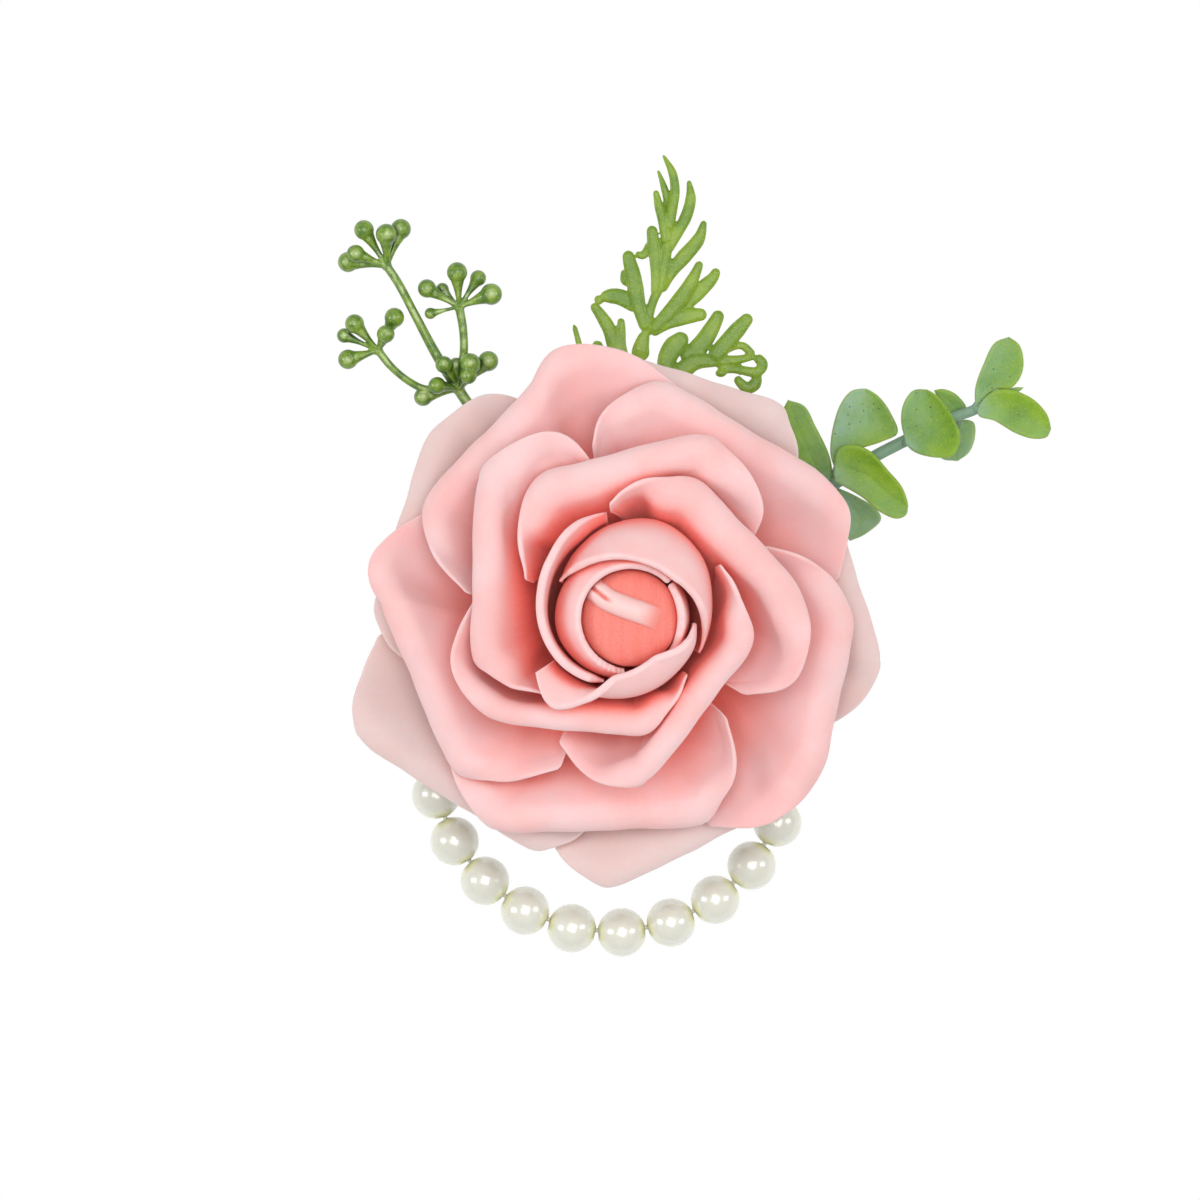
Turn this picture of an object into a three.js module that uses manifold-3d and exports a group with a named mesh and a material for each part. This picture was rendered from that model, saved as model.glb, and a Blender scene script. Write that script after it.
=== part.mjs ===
// Wrist corsage: a foam rose and three artificial sprigs on a felt-backed glue pad,
// with a stretch bracelet of pearls. Millimetres, +Z up.
// The origin is the centre of the felt back's lower face; the rose looks up.

import * as THREE from 'three';
import { mergeVertices } from 'three/addons/utils/BufferGeometryUtils.js';
import Module from 'manifold-3d';

const wasm = await Module();
wasm.setup();

// General fits
const CLEARANCE = 0.3;
const DEGREE = Math.PI / 180;

// Bracelet
const PEARL_DIAMETER = 7.8;
const PEARL_GAP = 0.2;
const PEARL_COUNT = 17;
const PEARL_BORE_RADIUS = 1.05;
const CORD_RADIUS = 0.35;
const END_PEARL_GAP = 2.9;
const PEARL_SHIFT_ANGLE = 3.3;

// Pad under the rose
const FELT_RADIUS = 16;
const FELT_THICKNESS = 1.5;
const FELT_OVERHANG = 1;
const GLUE_HEIGHT = 5.8;
const COVER_THICKNESS = 1.2;
const CORD_EXIT_Y = 3.1;
const CORD_EXIT_GAP = 0.4;
const CORD_END_INSET = 0.1;
const CHANNEL_OVERRUN = 3;

// Rose core
const ROSE_OFFSET_X = 1.2;
const STUB_RADIUS = 1.8;
const STUB_SEAT = 1;
const CALYX_FOOT_RADIUS = 5;
const CALYX_RADIUS = 9.5;
const CALYX_HEIGHT = 4.3;
const CALYX_LIP = 0.7;
const CALYX_CUP_DEPTH = 1;
const HUB_RADIUS = 6.8;
const HUB_HEIGHT = 17.2;
const BUD_RADIUS = 7.6;
const BUD_HEIGHT = 16.4;
const BUD_FOOT_RADIUS = 4.6;
const BUD_FOOT_FLARE = 0.4;
const BUD_OFFSET_X = 1.5;

// Petals
const PETAL_THICKNESS = 1;
const WRAP_THICKNESS = 1.3;
const PETAL_FOOT_SPREAD = 2.4;
const WRAP_FOOT_STEP = 2.4;
const WRAP_FOOT_DROP = 1.8;
const FOOT_SEAT = 0.6;

// Sprigs
const SPRIG_HEIGHT = 6;
const SPRAY_STEM_RADIUS = 0.75;
const BERRY_RADIUS = 1.55;
const FERN_RIB_RADIUS = 0.85;
const FERN_BLADE_WIDTH = 3.5;
const FERN_BLADE_THICKNESS = 0.9;
const EUCALYPTUS_STEM_RADIUS = 1.05;
const LEAF_THICKNESS = 0.8;
const LEAF_CUP = 0.9;
const LEAF_ARCH = 0.6;
const COLLAR_WALL = 0.8;
const COLLAR_LENGTH = 2.2;

// Heights of the stack that follow from the sizes above
const gluePadRadius = FELT_RADIUS - FELT_OVERHANG;
const glueBottom = FELT_THICKNESS + CLEARANCE;
const glueTop = glueBottom + GLUE_HEIGHT;
const coverBottom = glueTop + CLEARANCE;
const calyxBottom = coverBottom;
const calyxTop = calyxBottom + CALYX_HEIGHT;
const hubBottom = calyxTop - CALYX_CUP_DEPTH + CLEARANCE;
const hubTop = hubBottom + HUB_HEIGHT;
const budBottom = hubTop + CLEARANCE;
const budTop = budBottom + BUD_HEIGHT;
const pearlHeight = PEARL_DIAMETER / 2;

const foamPink = new THREE.MeshStandardMaterial({ color: 0xf7b9b4, roughness: 0.75, metalness: 0 });
const foamPale = new THREE.MeshStandardMaterial({ color: 0xecc9c4, roughness: 0.75, metalness: 0 });
const foamSalmon = new THREE.MeshStandardMaterial({ color: 0xf08d80, roughness: 0.75, metalness: 0 });
const pearlIvory = new THREE.MeshStandardMaterial({ color: 0xf0eedc, roughness: 0.22, metalness: 0 });
const elasticClear = new THREE.MeshStandardMaterial({ color: 0xe6e6dc, roughness: 0.4, metalness: 0 });
const feltWhite = new THREE.MeshStandardMaterial({ color: 0xf1eeea, roughness: 0.95, metalness: 0 });
const glueCloudy = new THREE.MeshStandardMaterial({ color: 0xe8e3d2, roughness: 0.35, metalness: 0 });
const calyxGreen = new THREE.MeshStandardMaterial({ color: 0x5f8f3f, roughness: 0.55, metalness: 0 });
const berryGreen = new THREE.MeshStandardMaterial({ color: 0x5c8a34, roughness: 0.4, metalness: 0 });
const fernGreen = new THREE.MeshStandardMaterial({ color: 0x6fa544, roughness: 0.3, metalness: 0 });
const leafGreen = new THREE.MeshStandardMaterial({ color: 0x74ad45, roughness: 0.55, metalness: 0 });
const twigGreen = new THREE.MeshStandardMaterial({ color: 0x71917a, roughness: 0.6, metalness: 0 });

const corsage = new THREE.Group();
const rose = new THREE.Group();
rose.position.x = ROSE_OFFSET_X;
corsage.add(rose);

function addPiece(parent, name, geometry, material) {
  const mesh = new THREE.Mesh(geometry, material);
  mesh.name = name;
  parent.add(mesh);
  return mesh;
}

// Closed meshes and their booleans

function weld(geometry) {
  const bare = geometry.clone();
  bare.deleteAttribute('normal');
  bare.deleteAttribute('uv');
  return mergeVertices(bare, 1e-4);
}

function toSolid(geometry) {
  const welded = weld(geometry);
  return new wasm.Manifold(new wasm.Mesh({
    numProp: 3,
    vertProperties: new Float32Array(welded.attributes.position.array),
    triVerts: new Uint32Array(welded.index.array),
  }));
}

function toGeometry(solid) {
  const mesh = solid.getMesh();
  const geometry = new THREE.BufferGeometry();
  geometry.setAttribute('position', new THREE.BufferAttribute(mesh.vertProperties, 3));
  geometry.setIndex(new THREE.BufferAttribute(mesh.triVerts, 1));
  return geometry;
}

function join(geometries) {
  let solid = toSolid(geometries[0]);
  for (const geometry of geometries.slice(1)) {
    solid = solid.add(toSolid(geometry));
  }
  // Pockets trapped between joined pieces are skins of negative volume; without them it is solid.
  const skins = solid.decompose().filter((skin) => skin.volume() > 0);
  return toGeometry(skins.reduce((whole, skin) => whole.add(skin)));
}

function cut(geometry, tools) {
  let solid = toSolid(geometry);
  for (const tool of tools) {
    solid = solid.subtract(toSolid(tool));
  }
  return toGeometry(solid);
}

function fromRings(rings) {
  // Joins rings of points, each of the same count, into one closed skin with flat ends.
  const sides = rings[0].length;
  const positions = rings.flat().flatMap((point) => [point.x, point.y, point.z]);
  const faces = [];
  for (let ring = 0; ring + 1 < rings.length; ring += 1) {
    for (let side = 0; side < sides; side += 1) {
      const a = ring * sides + side;
      const b = ring * sides + (side + 1) % sides;
      faces.push(a, b, b + sides, a, b + sides, a + sides);
    }
  }
  const last = (rings.length - 1) * sides;
  for (let side = 1; side + 1 < sides; side += 1) {
    faces.push(0, side + 1, side, last, last + side, last + side + 1);
  }
  const geometry = new THREE.BufferGeometry();
  geometry.setAttribute('position', new THREE.Float32BufferAttribute(positions, 3));
  geometry.setIndex(faces);
  return geometry;
}

function turned(profile, segments) {
  return new THREE.LatheGeometry(profile.map(([r, z]) => new THREE.Vector2(r, z)), segments)
    .rotateX(Math.PI / 2);
}

function disc(radius, bottom, top, segments, hole = 0) {
  if (hole === 0) {
    return turned([[0, bottom], [radius, bottom], [radius, top], [0, top]], segments);
  }
  const section = [[hole, bottom], [radius, bottom], [radius, top], [hole, top], [hole, bottom]];
  return turned(section, segments);
}

function rod(curve, radius, sides, steps) {
  const section = new THREE.Shape();
  section.absarc(0, 0, radius, 0, 2 * Math.PI);
  return new THREE.ExtrudeGeometry(section, {
    steps,
    curveSegments: sides,
    extrudePath: curve,
  });
}

function smoothCurve(points) {
  return new THREE.CatmullRomCurve3(points.map(([x, y, z]) => new THREE.Vector3(x, y, z)));
}

// A foam or leaf sheet: a grid of middle points thickened to both sides

function sheet(grid, thickness) {
  const rows = grid.length;
  const columns = grid[0].length;
  const half = thickness / 2;
  const front = [];
  const back = [];
  for (let row = 0; row < rows; row += 1) {
    for (let column = 0; column < columns; column += 1) {
      const along = grid[row][Math.min(column + 1, columns - 1)].clone()
        .sub(grid[row][Math.max(column - 1, 0)]);
      const up = grid[Math.min(row + 1, rows - 1)][column].clone()
        .sub(grid[Math.max(row - 1, 0)][column]);
      const normal = along.cross(up).normalize().multiplyScalar(half);
      front.push(grid[row][column].clone().add(normal));
      back.push(grid[row][column].clone().sub(normal));
    }
  }
  const faces = [];
  const backStart = rows * columns;
  for (let row = 0; row + 1 < rows; row += 1) {
    for (let column = 0; column + 1 < columns; column += 1) {
      const a = row * columns + column;
      const b = a + 1;
      const c = b + columns;
      const d = a + columns;
      faces.push(a, b, c, a, c, d);
      faces.push(...[a, c, b, a, d, c].map((corner) => backStart + corner));
    }
  }
  const rim = [];
  for (let column = 0; column < columns - 1; column += 1) rim.push(column);
  for (let row = 0; row < rows - 1; row += 1) rim.push(row * columns + columns - 1);
  for (let column = columns - 1; column > 0; column -= 1) rim.push((rows - 1) * columns + column);
  for (let row = rows - 1; row > 0; row -= 1) rim.push(row * columns);
  rim.forEach((from, index) => {
    const to = rim[(index + 1) % rim.length];
    faces.push(from, backStart + to, to, from, backStart + from, backStart + to);
  });
  const geometry = new THREE.BufferGeometry();
  const points = front.concat(back).flatMap((point) => [point.x, point.y, point.z]);
  geometry.setAttribute('position', new THREE.Float32BufferAttribute(points, 3));
  geometry.setIndex(faces);
  return geometry;
}

// Rolled petals. Every petal is a fan of sections that rise from the hub to its rim. The rim is
// straight and rolled under along the crest, then swings into an open lobe at either end.
// Rim points are [azimuth, radius], from each corner of the crest to the end of its lobe. The slopes
// are those at the foot and below the crest.

const PETAL_BODY_STEPS = 5;
const PETAL_ROLL_STEPS = 3;
const CW_COLUMNS = 4;
const CREST_COLUMNS = 3;
const CCW_COLUMNS = 3;
const ROLL_OPEN_SHARE = 0.6;
const LOBE_TURN_LEFT = 0.15;
const LOBE_LENGTH_LEFT = 0.5;
const PETAL_FOOT_WIDTH = 0.5;
const PETAL_NARROWING = 0.7;

const LAYERS = {
  middle: {
    footHeight: hubBottom + 9.1, footLift: 2.4,
    crestHeight: hubTop + 10.7, rollShare: 0.165, rollAngle: 150,
    riseShares: { cw: 0.55, crest: 0.6, ccw: 0.85 }, lobeSlopes: { cw: 34, ccw: 84 }, crestReach: 5,
    ccwRise: 36, cwDroop: 6, ccwLift: -2, material: foamPink,
    petals: [
      {
        azimuth: 264, crest: 18.1, slopes: [42, 72],
        cw: [[220, 25.2], [208, 26.9], [197, 27], [188, 26], [172, 22]],
        ccw: [[282, 19], [298, 16.4], [311, 14.6], [320, 13.6]],
      },
      {
        azimuth: 322.4, crest: 19.2, slopes: [36, 76],
        cw: [[279, 26.4], [269, 26.3], [258, 24.8], [244, 21.3]],
        ccw: [[350, 21.6], [365, 19.6], [380, 17.9], [388, 17.4]],
      },
      {
        azimuth: 42.7, crest: 23.8, slopes: [40, 64], ccwLift: 1.2,
        cw: [[10.5, 28.1], [-2, 29.6], [-12, 29.4], [-23, 28.2], [-32, 22]],
        ccw: [[60, 24.9], [71, 23.2], [80, 21.7], [90, 18.9], [95, 17.2]],
      },
      {
        azimuth: 104.2, crest: 24.7, slopes: [49, 50],
        cw: [[65, 31.8], [57.5, 31.1], [45.5, 29.6], [36, 27.6], [29, 22.6]],
        ccw: [[120, 25.6], [131, 23.3], [140, 20.5], [149, 17.2], [158, 15.4]],
      },
      {
        azimuth: 178.2, crest: 22.8, slopes: [60, 42],
        cw: [[135, 31.3], [127, 31.8], [117, 31.3], [106, 29.6], [98, 22]],
        ccw: [[195, 23.8], [202, 22.7], [212, 20], [218, 18], [226, 16]],
      },
    ],
  },
  outer: {
    footHeight: hubBottom + 4.7, footLift: 1.9,
    crestHeight: hubTop + 1.9, rollShare: 0.105, rollAngle: 130,
    riseShares: { cw: 0.4, crest: 0.4, ccw: 0.55 }, lobeSlopes: { cw: 16, ccw: 42 }, crestReach: 7,
    ccwRise: 26, cwDroop: 6.2, ccwLift: 0.6, material: foamPink,
    petals: [
      {
        azimuth: 271.8, crest: 33, slopes: [26, 28],
        cw: [[240, 38.8], [232, 37.7], [224, 36.1], [214, 32]],
        ccw: [[292, 35.2], [299.5, 32.9], [308.5, 29.3], [317, 21.6]],
      },
      {
        azimuth: 347.7, crest: 36.2, slopes: [26, 28],
        cw: [[323.6, 39.6], [313, 40.5], [304, 39.3], [293, 35.2]],
        ccw: [[360, 37], [372.5, 32.9], [379, 29.7], [386, 24.9]],
      },
      {
        azimuth: 58.6, crest: 35.5, slopes: [26, 28],
        cw: [[43, 36.9], [33, 39.2], [26, 39.7], [20, 38.2], [9.5, 34.4]],
        ccw: [[80, 38.2], [90, 34.2], [96, 31], [99, 26.5]],
      },
      {
        azimuth: 135.8, crest: 35.1, slopes: [26, 28],
        cw: [[110, 38.9], [103.5, 43.4], [95, 42.7], [87, 41.1], [76, 37]],
        ccw: [[148.5, 36], [158, 32.4], [164, 28.9], [171, 23.5]],
      },
      {
        azimuth: 202.6, crest: 33.5, slopes: [26, 28],
        cw: [[176, 37.5], [170, 40.1], [163, 39.2], [150, 33.5]],
        ccw: [[223, 35.9], [232, 32.3], [239, 29.4], [248.5, 24.6]],
      },
    ],
  },
  under: {
    footHeight: hubBottom + 1.4, footLift: 1.6,
    crestHeight: hubTop - 5.3, rollShare: 0.125, rollAngle: 60,
    riseShares: { cw: 0.4, crest: 0.4, ccw: 0.4 }, lobeSlopes: { cw: 8, ccw: 12 }, crestReach: 9,
    ccwRise: 14, cwDroop: 3.5, ccwLift: 0.3, material: foamPale,
    petals: [
      {
        azimuth: 237.6, crest: 38.7, slopes: [14, 12],
        cw: [[204.6, 45.6], [199, 44.4], [193, 41.9], [184, 37.5]],
        ccw: [[250, 39.6], [258, 36], [264, 31]],
      },
      {
        azimuth: 296.6, crest: 38.1, slopes: [14, 12],
        cw: [[268, 43.2], [260.5, 40.6], [254.5, 37.7], [250, 34]],
        ccw: [[315, 40.2], [325, 37], [333, 32]],
      },
      {
        azimuth: 17.2, crest: 37.8, slopes: [14, 12],
        cw: [[-9.5, 42.2], [-15, 41.6], [-26, 37.5], [-32, 33]],
        ccw: [[35, 39.7], [46, 36], [54, 31]],
      },
      {
        azimuth: 72.7, crest: 40, slopes: [14, 12],
        cw: [[52.6, 42.6], [48, 40.5], [42, 38], [36, 33]],
        ccw: [[90, 41.9], [99, 38.5], [107, 33]],
      },
      {
        azimuth: 162.5, crest: 37.8, slopes: [14, 12],
        cw: [[137, 41.9], [127, 41.6], [119, 40.3], [110, 34]],
        ccw: [[178, 39.2], [188, 36], [196, 31]],
      },
    ],
  },
};

function rimStations(petal) {
  // Stations from the clockwise end to the counter-clockwise end; toCw and toCcw grow to 1 along the lobes.
  const lobePoint = (points, share) => smoothCurve(points.map(([azimuth, radius]) => [azimuth, radius, 0]))
    .getPoint(share);
  const stations = [];
  for (let column = CW_COLUMNS; column > 0; column -= 1) {
    const toCw = column / CW_COLUMNS;
    const { x: azimuth, y: radius } = lobePoint(petal.cw, toCw);
    stations.push({ azimuth, radius, toCw, toCcw: 0 });
  }
  const [cwCorner] = petal.cw[0];
  const [ccwCorner] = petal.ccw[0];
  for (let column = 0; column <= CREST_COLUMNS; column += 1) {
    const azimuth = cwCorner + (ccwCorner - cwCorner) * column / CREST_COLUMNS;
    const radius = petal.crest / Math.cos((azimuth - petal.azimuth) * DEGREE);
    stations.push({ azimuth, radius, toCw: 0, toCcw: 0 });
  }
  for (let column = 1; column <= CCW_COLUMNS; column += 1) {
    const toCcw = column / CCW_COLUMNS;
    const { x: azimuth, y: radius } = lobePoint(petal.ccw, toCcw);
    stations.push({ azimuth, radius, toCw: 0, toCcw });
  }
  return stations;
}

function alongRim({ cw, crest, ccw }, { toCw, toCcw }) {
  return crest + (cw - crest) * toCw + (ccw - crest) * toCcw;
}

function petalSection(layer, petal, station, share) {
  // From the foot at the hub up to the crest, then over the roll, which is opened out along the lobes.
  const [footSlope, crestSlope] = petal.slopes;
  const ccwLift = petal.ccwLift ?? layer.ccwLift;
  const rise = alongRim({ cw: footSlope, crest: footSlope, ccw: layer.ccwRise }, station) * DEGREE;
  const level = alongRim({ ...layer.lobeSlopes, crest: crestSlope }, station) * DEGREE;
  const opened = THREE.MathUtils.smoothstep(Math.max(station.toCw, station.toCcw), 0, ROLL_OPEN_SHARE);
  const rollRadius = layer.rollShare * (petal.crest - HUB_RADIUS);
  const fullTurn = layer.rollAngle * DEGREE;
  const turn = fullTurn * THREE.MathUtils.lerp(1, LOBE_TURN_LEFT, opened);
  const length = rollRadius * fullTurn * THREE.MathUtils.lerp(1, LOBE_LENGTH_LEFT, opened);
  const bend = length / turn;
  const outermost = Math.max(level - turn, -Math.PI / 2);
  const overhang = bend * (Math.sin(level) - Math.sin(outermost)) + PETAL_THICKNESS / 2 * (1 - opened);
  const foot = new THREE.Vector2(
    HUB_RADIUS + CLEARANCE + PETAL_THICKNESS / 2 * Math.sin(rise) + PETAL_FOOT_SPREAD * (1 - share),
    layer.footHeight + layer.footLift * share,
  );
  const top = new THREE.Vector2(
    station.radius - overhang,
    layer.crestHeight - layer.cwDroop * station.toCw + ccwLift * station.toCcw,
  );
  const riseReach = alongRim(layer.riseShares, station) * (top.x - foot.x) / Math.cos(rise);
  const body = new THREE.CubicBezierCurve(
    foot,
    new THREE.Vector2(Math.cos(rise), Math.sin(rise)).multiplyScalar(riseReach).add(foot),
    new THREE.Vector2(-Math.cos(level), -Math.sin(level)).multiplyScalar(layer.crestReach).add(top),
    top,
  );
  const section = body.getSpacedPoints(PETAL_BODY_STEPS);
  for (let step = 1; step <= PETAL_ROLL_STEPS; step += 1) {
    const angle = level - turn * step / PETAL_ROLL_STEPS;
    section.push(new THREE.Vector2(
      top.x + bend * (Math.sin(level) - Math.sin(angle)),
      top.y + bend * (Math.cos(angle) - Math.cos(level)),
    ));
  }
  return section;
}

function rolledPetal(layer, petal) {
  const stations = rimStations(petal);
  const start = stations[0].azimuth;
  const end = stations[stations.length - 1].azimuth;
  const sections = stations.map((station) => {
    const share = (station.azimuth - start) / (end - start);
    return petalSection(layer, petal, station, share).map(({ x: radius, y: z }, row) => {
      const height = Math.min(row / PETAL_BODY_STEPS, 1);
      const width = PETAL_FOOT_WIDTH + (1 - PETAL_FOOT_WIDTH) * height ** PETAL_NARROWING;
      const azimuth = (petal.azimuth + (station.azimuth - petal.azimuth) * width) * DEGREE;
      return new THREE.Vector3(radius * Math.cos(azimuth), radius * Math.sin(azimuth), z);
    });
  });
  return sheet(sections[0].map((_, row) => sections.map((section) => section[row])), PETAL_THICKNESS);
}

for (const [layerName, layer] of Object.entries(LAYERS)) {
  layer.petals.forEach((petal, index) => {
    addPiece(rose, `${layerName}_petal_${index + 1}`, rolledPetal(layer, petal), layer.material);
  });
}

// Bud wraps. Each runs counter-clockwise through its stations, and its end lies inside the next wrap.

const WRAP_COLUMNS = 14;
const WRAP_ROWS = 6;
const WRAP_SHOULDER = 2.6;
const WRAP_SHOULDER_RISE = 0.6;

const outerWrap = {
  foot: HUB_RADIUS + CLEARANCE + FOOT_SEAT * WRAP_THICKNESS,
  footStep: WRAP_FOOT_STEP,
  footHeight: hubTop - WRAP_FOOT_DROP,
  fullness: 0.5,
  centre: [0, 0],
};
const innerWrap = {
  foot: BUD_FOOT_RADIUS + CLEARANCE + FOOT_SEAT * WRAP_THICKNESS,
  footStep: 0,
  footHeight: hubTop + FOOT_SEAT * WRAP_THICKNESS,
  fullness: 0.5,
  centre: [BUD_OFFSET_X, 0],
};

// Stations: azimuth, belly radius, rim radius, rim height above the top of the bud
const WRAPS = [
  {
    ...outerWrap, name: 'bud_wrap_1', bellyRise: 8.8,
    stations: [[-24, 13.3, 13.5, -6.9], [8, 13.7, 12.4, -0.8], [38, 15.2, 10, 1.8], [66, 15.5, 9.2, 2.2],
      [96, 13.7, 9.2, 2], [124, 11.6, 9.8, 0.6], [149, 10.4, 10.8, -2.8]],
  },
  {
    ...outerWrap, name: 'bud_wrap_2', bellyRise: 6.3,
    stations: [[97, 14.8, 16.4, -6.4], [117, 13.4, 15.7, -0.9], [138, 12.7, 14, 1.2], [162, 11.9, 12.7, 2],
      [191, 11.2, 11.7, 2], [222, 10.4, 10.9, 1.2], [244, 10, 10.3, -0.4], [256, 9.8, 10, -2.2]],
  },
  {
    ...outerWrap, name: 'bud_wrap_3', bellyRise: 12.3, fullness: 0.78,
    stations: [[213, 12.6, 15.4, -1.8], [232, 12.4, 17.2, -0.3], [248, 12, 13.6, 0.4], [266, 11.8, 8.9, 1.5],
      [308, 11.5, 7.9, 1.6], [338, 11.7, 10.6, 0.6], [356, 11.6, 11.2, -2.8]],
  },
  {
    ...innerWrap, name: 'inner_wrap_1', bellyRise: 11.3,
    stations: [[42, 9.6, 8.2, -1.2], [90, 10.2, 8.3, 0.2], [180, 10.8, 8.5, 0.4], [222, 9.8, 8.6, -0.2],
      [246, 9.1, 8.5, -1.3], [265, 8.8, 8.4, -2.3]],
  },
  {
    ...innerWrap, name: 'inner_wrap_2', bellyRise: 9.3,
    stations: [[-80, 8.5, 8.4, -5], [-50, 8.5, 8.4, -3.8], [-12, 8.5, 8.2, -0.8], [14, 8.6, 8.1, -0.2],
      [40, 8.6, 8.1, -1.4]],
  },
];

function wrapSheet(wrap) {
  const stationLine = (values) => new THREE.CatmullRomCurve3(values);
  const sizes = stationLine(
    wrap.stations.map(([, belly, rim, rise]) => new THREE.Vector3(belly, rim, rise)),
  );
  const turns = stationLine(wrap.stations.map(([azimuth]) => new THREE.Vector3(azimuth, 0, 0)));
  const bellyHeight = hubTop + wrap.bellyRise;
  const columns = [];
  for (let column = 0; column <= WRAP_COLUMNS; column += 1) {
    const share = column / WRAP_COLUMNS;
    const { x: belly, y: rim, z: rimRise } = sizes.getPoint(share);
    const rimHeight = budTop + rimRise;
    const azimuth = turns.getPoint(share).x * DEGREE;
    const footRadius = wrap.foot + wrap.footStep * (1 - share);
    const section = new THREE.CatmullRomCurve3([
      new THREE.Vector3(footRadius, 0, wrap.footHeight),
      new THREE.Vector3(
        footRadius + wrap.fullness * (belly - footRadius),
        0,
        (wrap.footHeight + bellyHeight) / 2,
      ),
      new THREE.Vector3(belly, 0, bellyHeight),
      new THREE.Vector3(
        (WRAP_SHOULDER * belly + rim) / (WRAP_SHOULDER + 1),
        0,
        (bellyHeight + rimHeight) / 2 + WRAP_SHOULDER_RISE,
      ),
      new THREE.Vector3(rim, 0, rimHeight),
    ]);
    columns.push(section.getPoints(WRAP_ROWS).map(({ x: radius, z }) => new THREE.Vector3(
      wrap.centre[0] + radius * Math.cos(azimuth),
      wrap.centre[1] + radius * Math.sin(azimuth),
      z,
    )));
  }
  const grid = [];
  for (let row = 0; row <= WRAP_ROWS; row += 1) {
    grid.push(columns.map((column) => column[row]));
  }
  return sheet(grid, WRAP_THICKNESS);
}

for (const wrap of WRAPS) {
  addPiece(rose, wrap.name, wrapSheet(wrap), foamPink);
}

// Bud core, hub, calyx and stem stub

const bud = addPiece(rose, 'bud_core', turned([
  [0, budBottom],
  [BUD_FOOT_RADIUS, budBottom],
  [BUD_FOOT_RADIUS + BUD_FOOT_FLARE, budBottom + 0.15 * BUD_HEIGHT],
  [BUD_RADIUS, budBottom + 0.55 * BUD_HEIGHT],
  [BUD_RADIUS, budBottom + 0.88 * BUD_HEIGHT],
  [0.82 * BUD_RADIUS, budBottom + 0.96 * BUD_HEIGHT],
  [0.44 * BUD_RADIUS, budBottom + 0.99 * BUD_HEIGHT],
  [0, budTop],
], 16), foamSalmon);
bud.position.x = BUD_OFFSET_X;

addPiece(rose, 'receptacle', disc(HUB_RADIUS, hubBottom, hubTop, 20), calyxGreen);

addPiece(rose, 'calyx', turned([
  [0, calyxBottom],
  [CALYX_FOOT_RADIUS, calyxBottom],
  [CALYX_RADIUS, calyxTop - CALYX_LIP],
  [CALYX_RADIUS, calyxTop],
  [HUB_RADIUS + CLEARANCE, calyxTop - CALYX_LIP],
  [HUB_RADIUS + CLEARANCE, hubBottom - CLEARANCE],
  [0, hubBottom - CLEARANCE],
], 20), calyxGreen);

const stubBottom = glueBottom + STUB_SEAT;
const stubTop = calyxBottom - CLEARANCE;
addPiece(rose, 'rose_stem_stub', disc(STUB_RADIUS, stubBottom, stubTop, 12), calyxGreen);

// Bracelet loop: pearls on a circle that crosses the glue pad at the two cord exits

const pitch = PEARL_DIAMETER + PEARL_GAP;
const endPearlX = FELT_RADIUS + PEARL_DIAMETER / 2 + END_PEARL_GAP;
const exitX = Math.sqrt(gluePadRadius ** 2 - CORD_EXIT_Y ** 2);

function loopRadiusFor(chord, count, openChord) {
  // Radius at which count equal chords and one open chord close a circle.
  let small = openChord / 2;
  let large = chord * count + openChord;
  for (let pass = 0; pass < 60; pass += 1) {
    const radius = (small + large) / 2;
    const turn = 2 * count * Math.asin(chord / (2 * radius)) + 2 * Math.asin(openChord / (2 * radius));
    if (turn > 2 * Math.PI) small = radius;
    else large = radius;
  }
  return (small + large) / 2;
}

const loopRadius = loopRadiusFor(pitch, PEARL_COUNT - 1, 2 * endPearlX);
const loopCentreY = CORD_EXIT_Y - Math.sqrt(loopRadius ** 2 - exitX ** 2);
const pearlStep = 2 * Math.asin(pitch / (2 * loopRadius));
const exitAngle = Math.atan2(CORD_EXIT_Y - loopCentreY, exitX);

function loopPoint(angle) {
  return new THREE.Vector3(
    loopRadius * Math.cos(angle),
    loopCentreY + loopRadius * Math.sin(angle),
    pearlHeight,
  );
}

class LoopArc extends THREE.Curve {
  constructor(from, to) {
    super();
    this.from = from;
    this.to = to;
  }

  getPoint(share, target = new THREE.Vector3()) {
    return target.copy(loopPoint(this.from + (this.to - this.from) * share));
  }
}

function pearl() {
  const radius = PEARL_DIAMETER / 2;
  const boreAngle = Math.asin(PEARL_BORE_RADIUS / radius);
  const profile = [];
  const steps = 5;
  for (let step = 0; step <= steps; step += 1) {
    const angle = boreAngle + (Math.PI - 2 * boreAngle) * step / steps;
    profile.push([radius * Math.sin(angle), -radius * Math.cos(angle)]);
  }
  profile.push(profile[0]);
  return turned(profile, 12);
}

const bottomAngle = -Math.PI / 2 + PEARL_SHIFT_ANGLE * DEGREE;
for (let index = 0; index < PEARL_COUNT; index += 1) {
  const angle = bottomAngle + (index - (PEARL_COUNT - 1) / 2) * pearlStep;
  const bead = addPiece(corsage, `pearl_${String(index + 1).padStart(2, '0')}`, pearl(), pearlIvory);
  bead.position.copy(loopPoint(angle));
  bead.quaternion.setFromUnitVectors(
    new THREE.Vector3(0, 0, 1),
    new THREE.Vector3(-Math.sin(angle), Math.cos(angle), 0),
  );
}

const exitGap = CORD_EXIT_GAP / loopRadius;
const freeArc = new LoopArc(exitAngle - exitGap, -Math.PI - exitAngle + exitGap);
addPiece(corsage, 'elastic_cord', rod(freeArc, CORD_RADIUS, 4, 48), elasticClear);
const endInset = CORD_END_INSET / loopRadius;
const trappedArc = new LoopArc(exitAngle + endInset, Math.PI - exitAngle - endInset);
addPiece(corsage, 'trapped_elastic', rod(trappedArc, CORD_RADIUS, 4, 8), elasticClear);

// Felt back, glue pad and felt cover

addPiece(corsage, 'felt_back', disc(FELT_RADIUS, 0, FELT_THICKNESS, 40), feltWhite);

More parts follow.
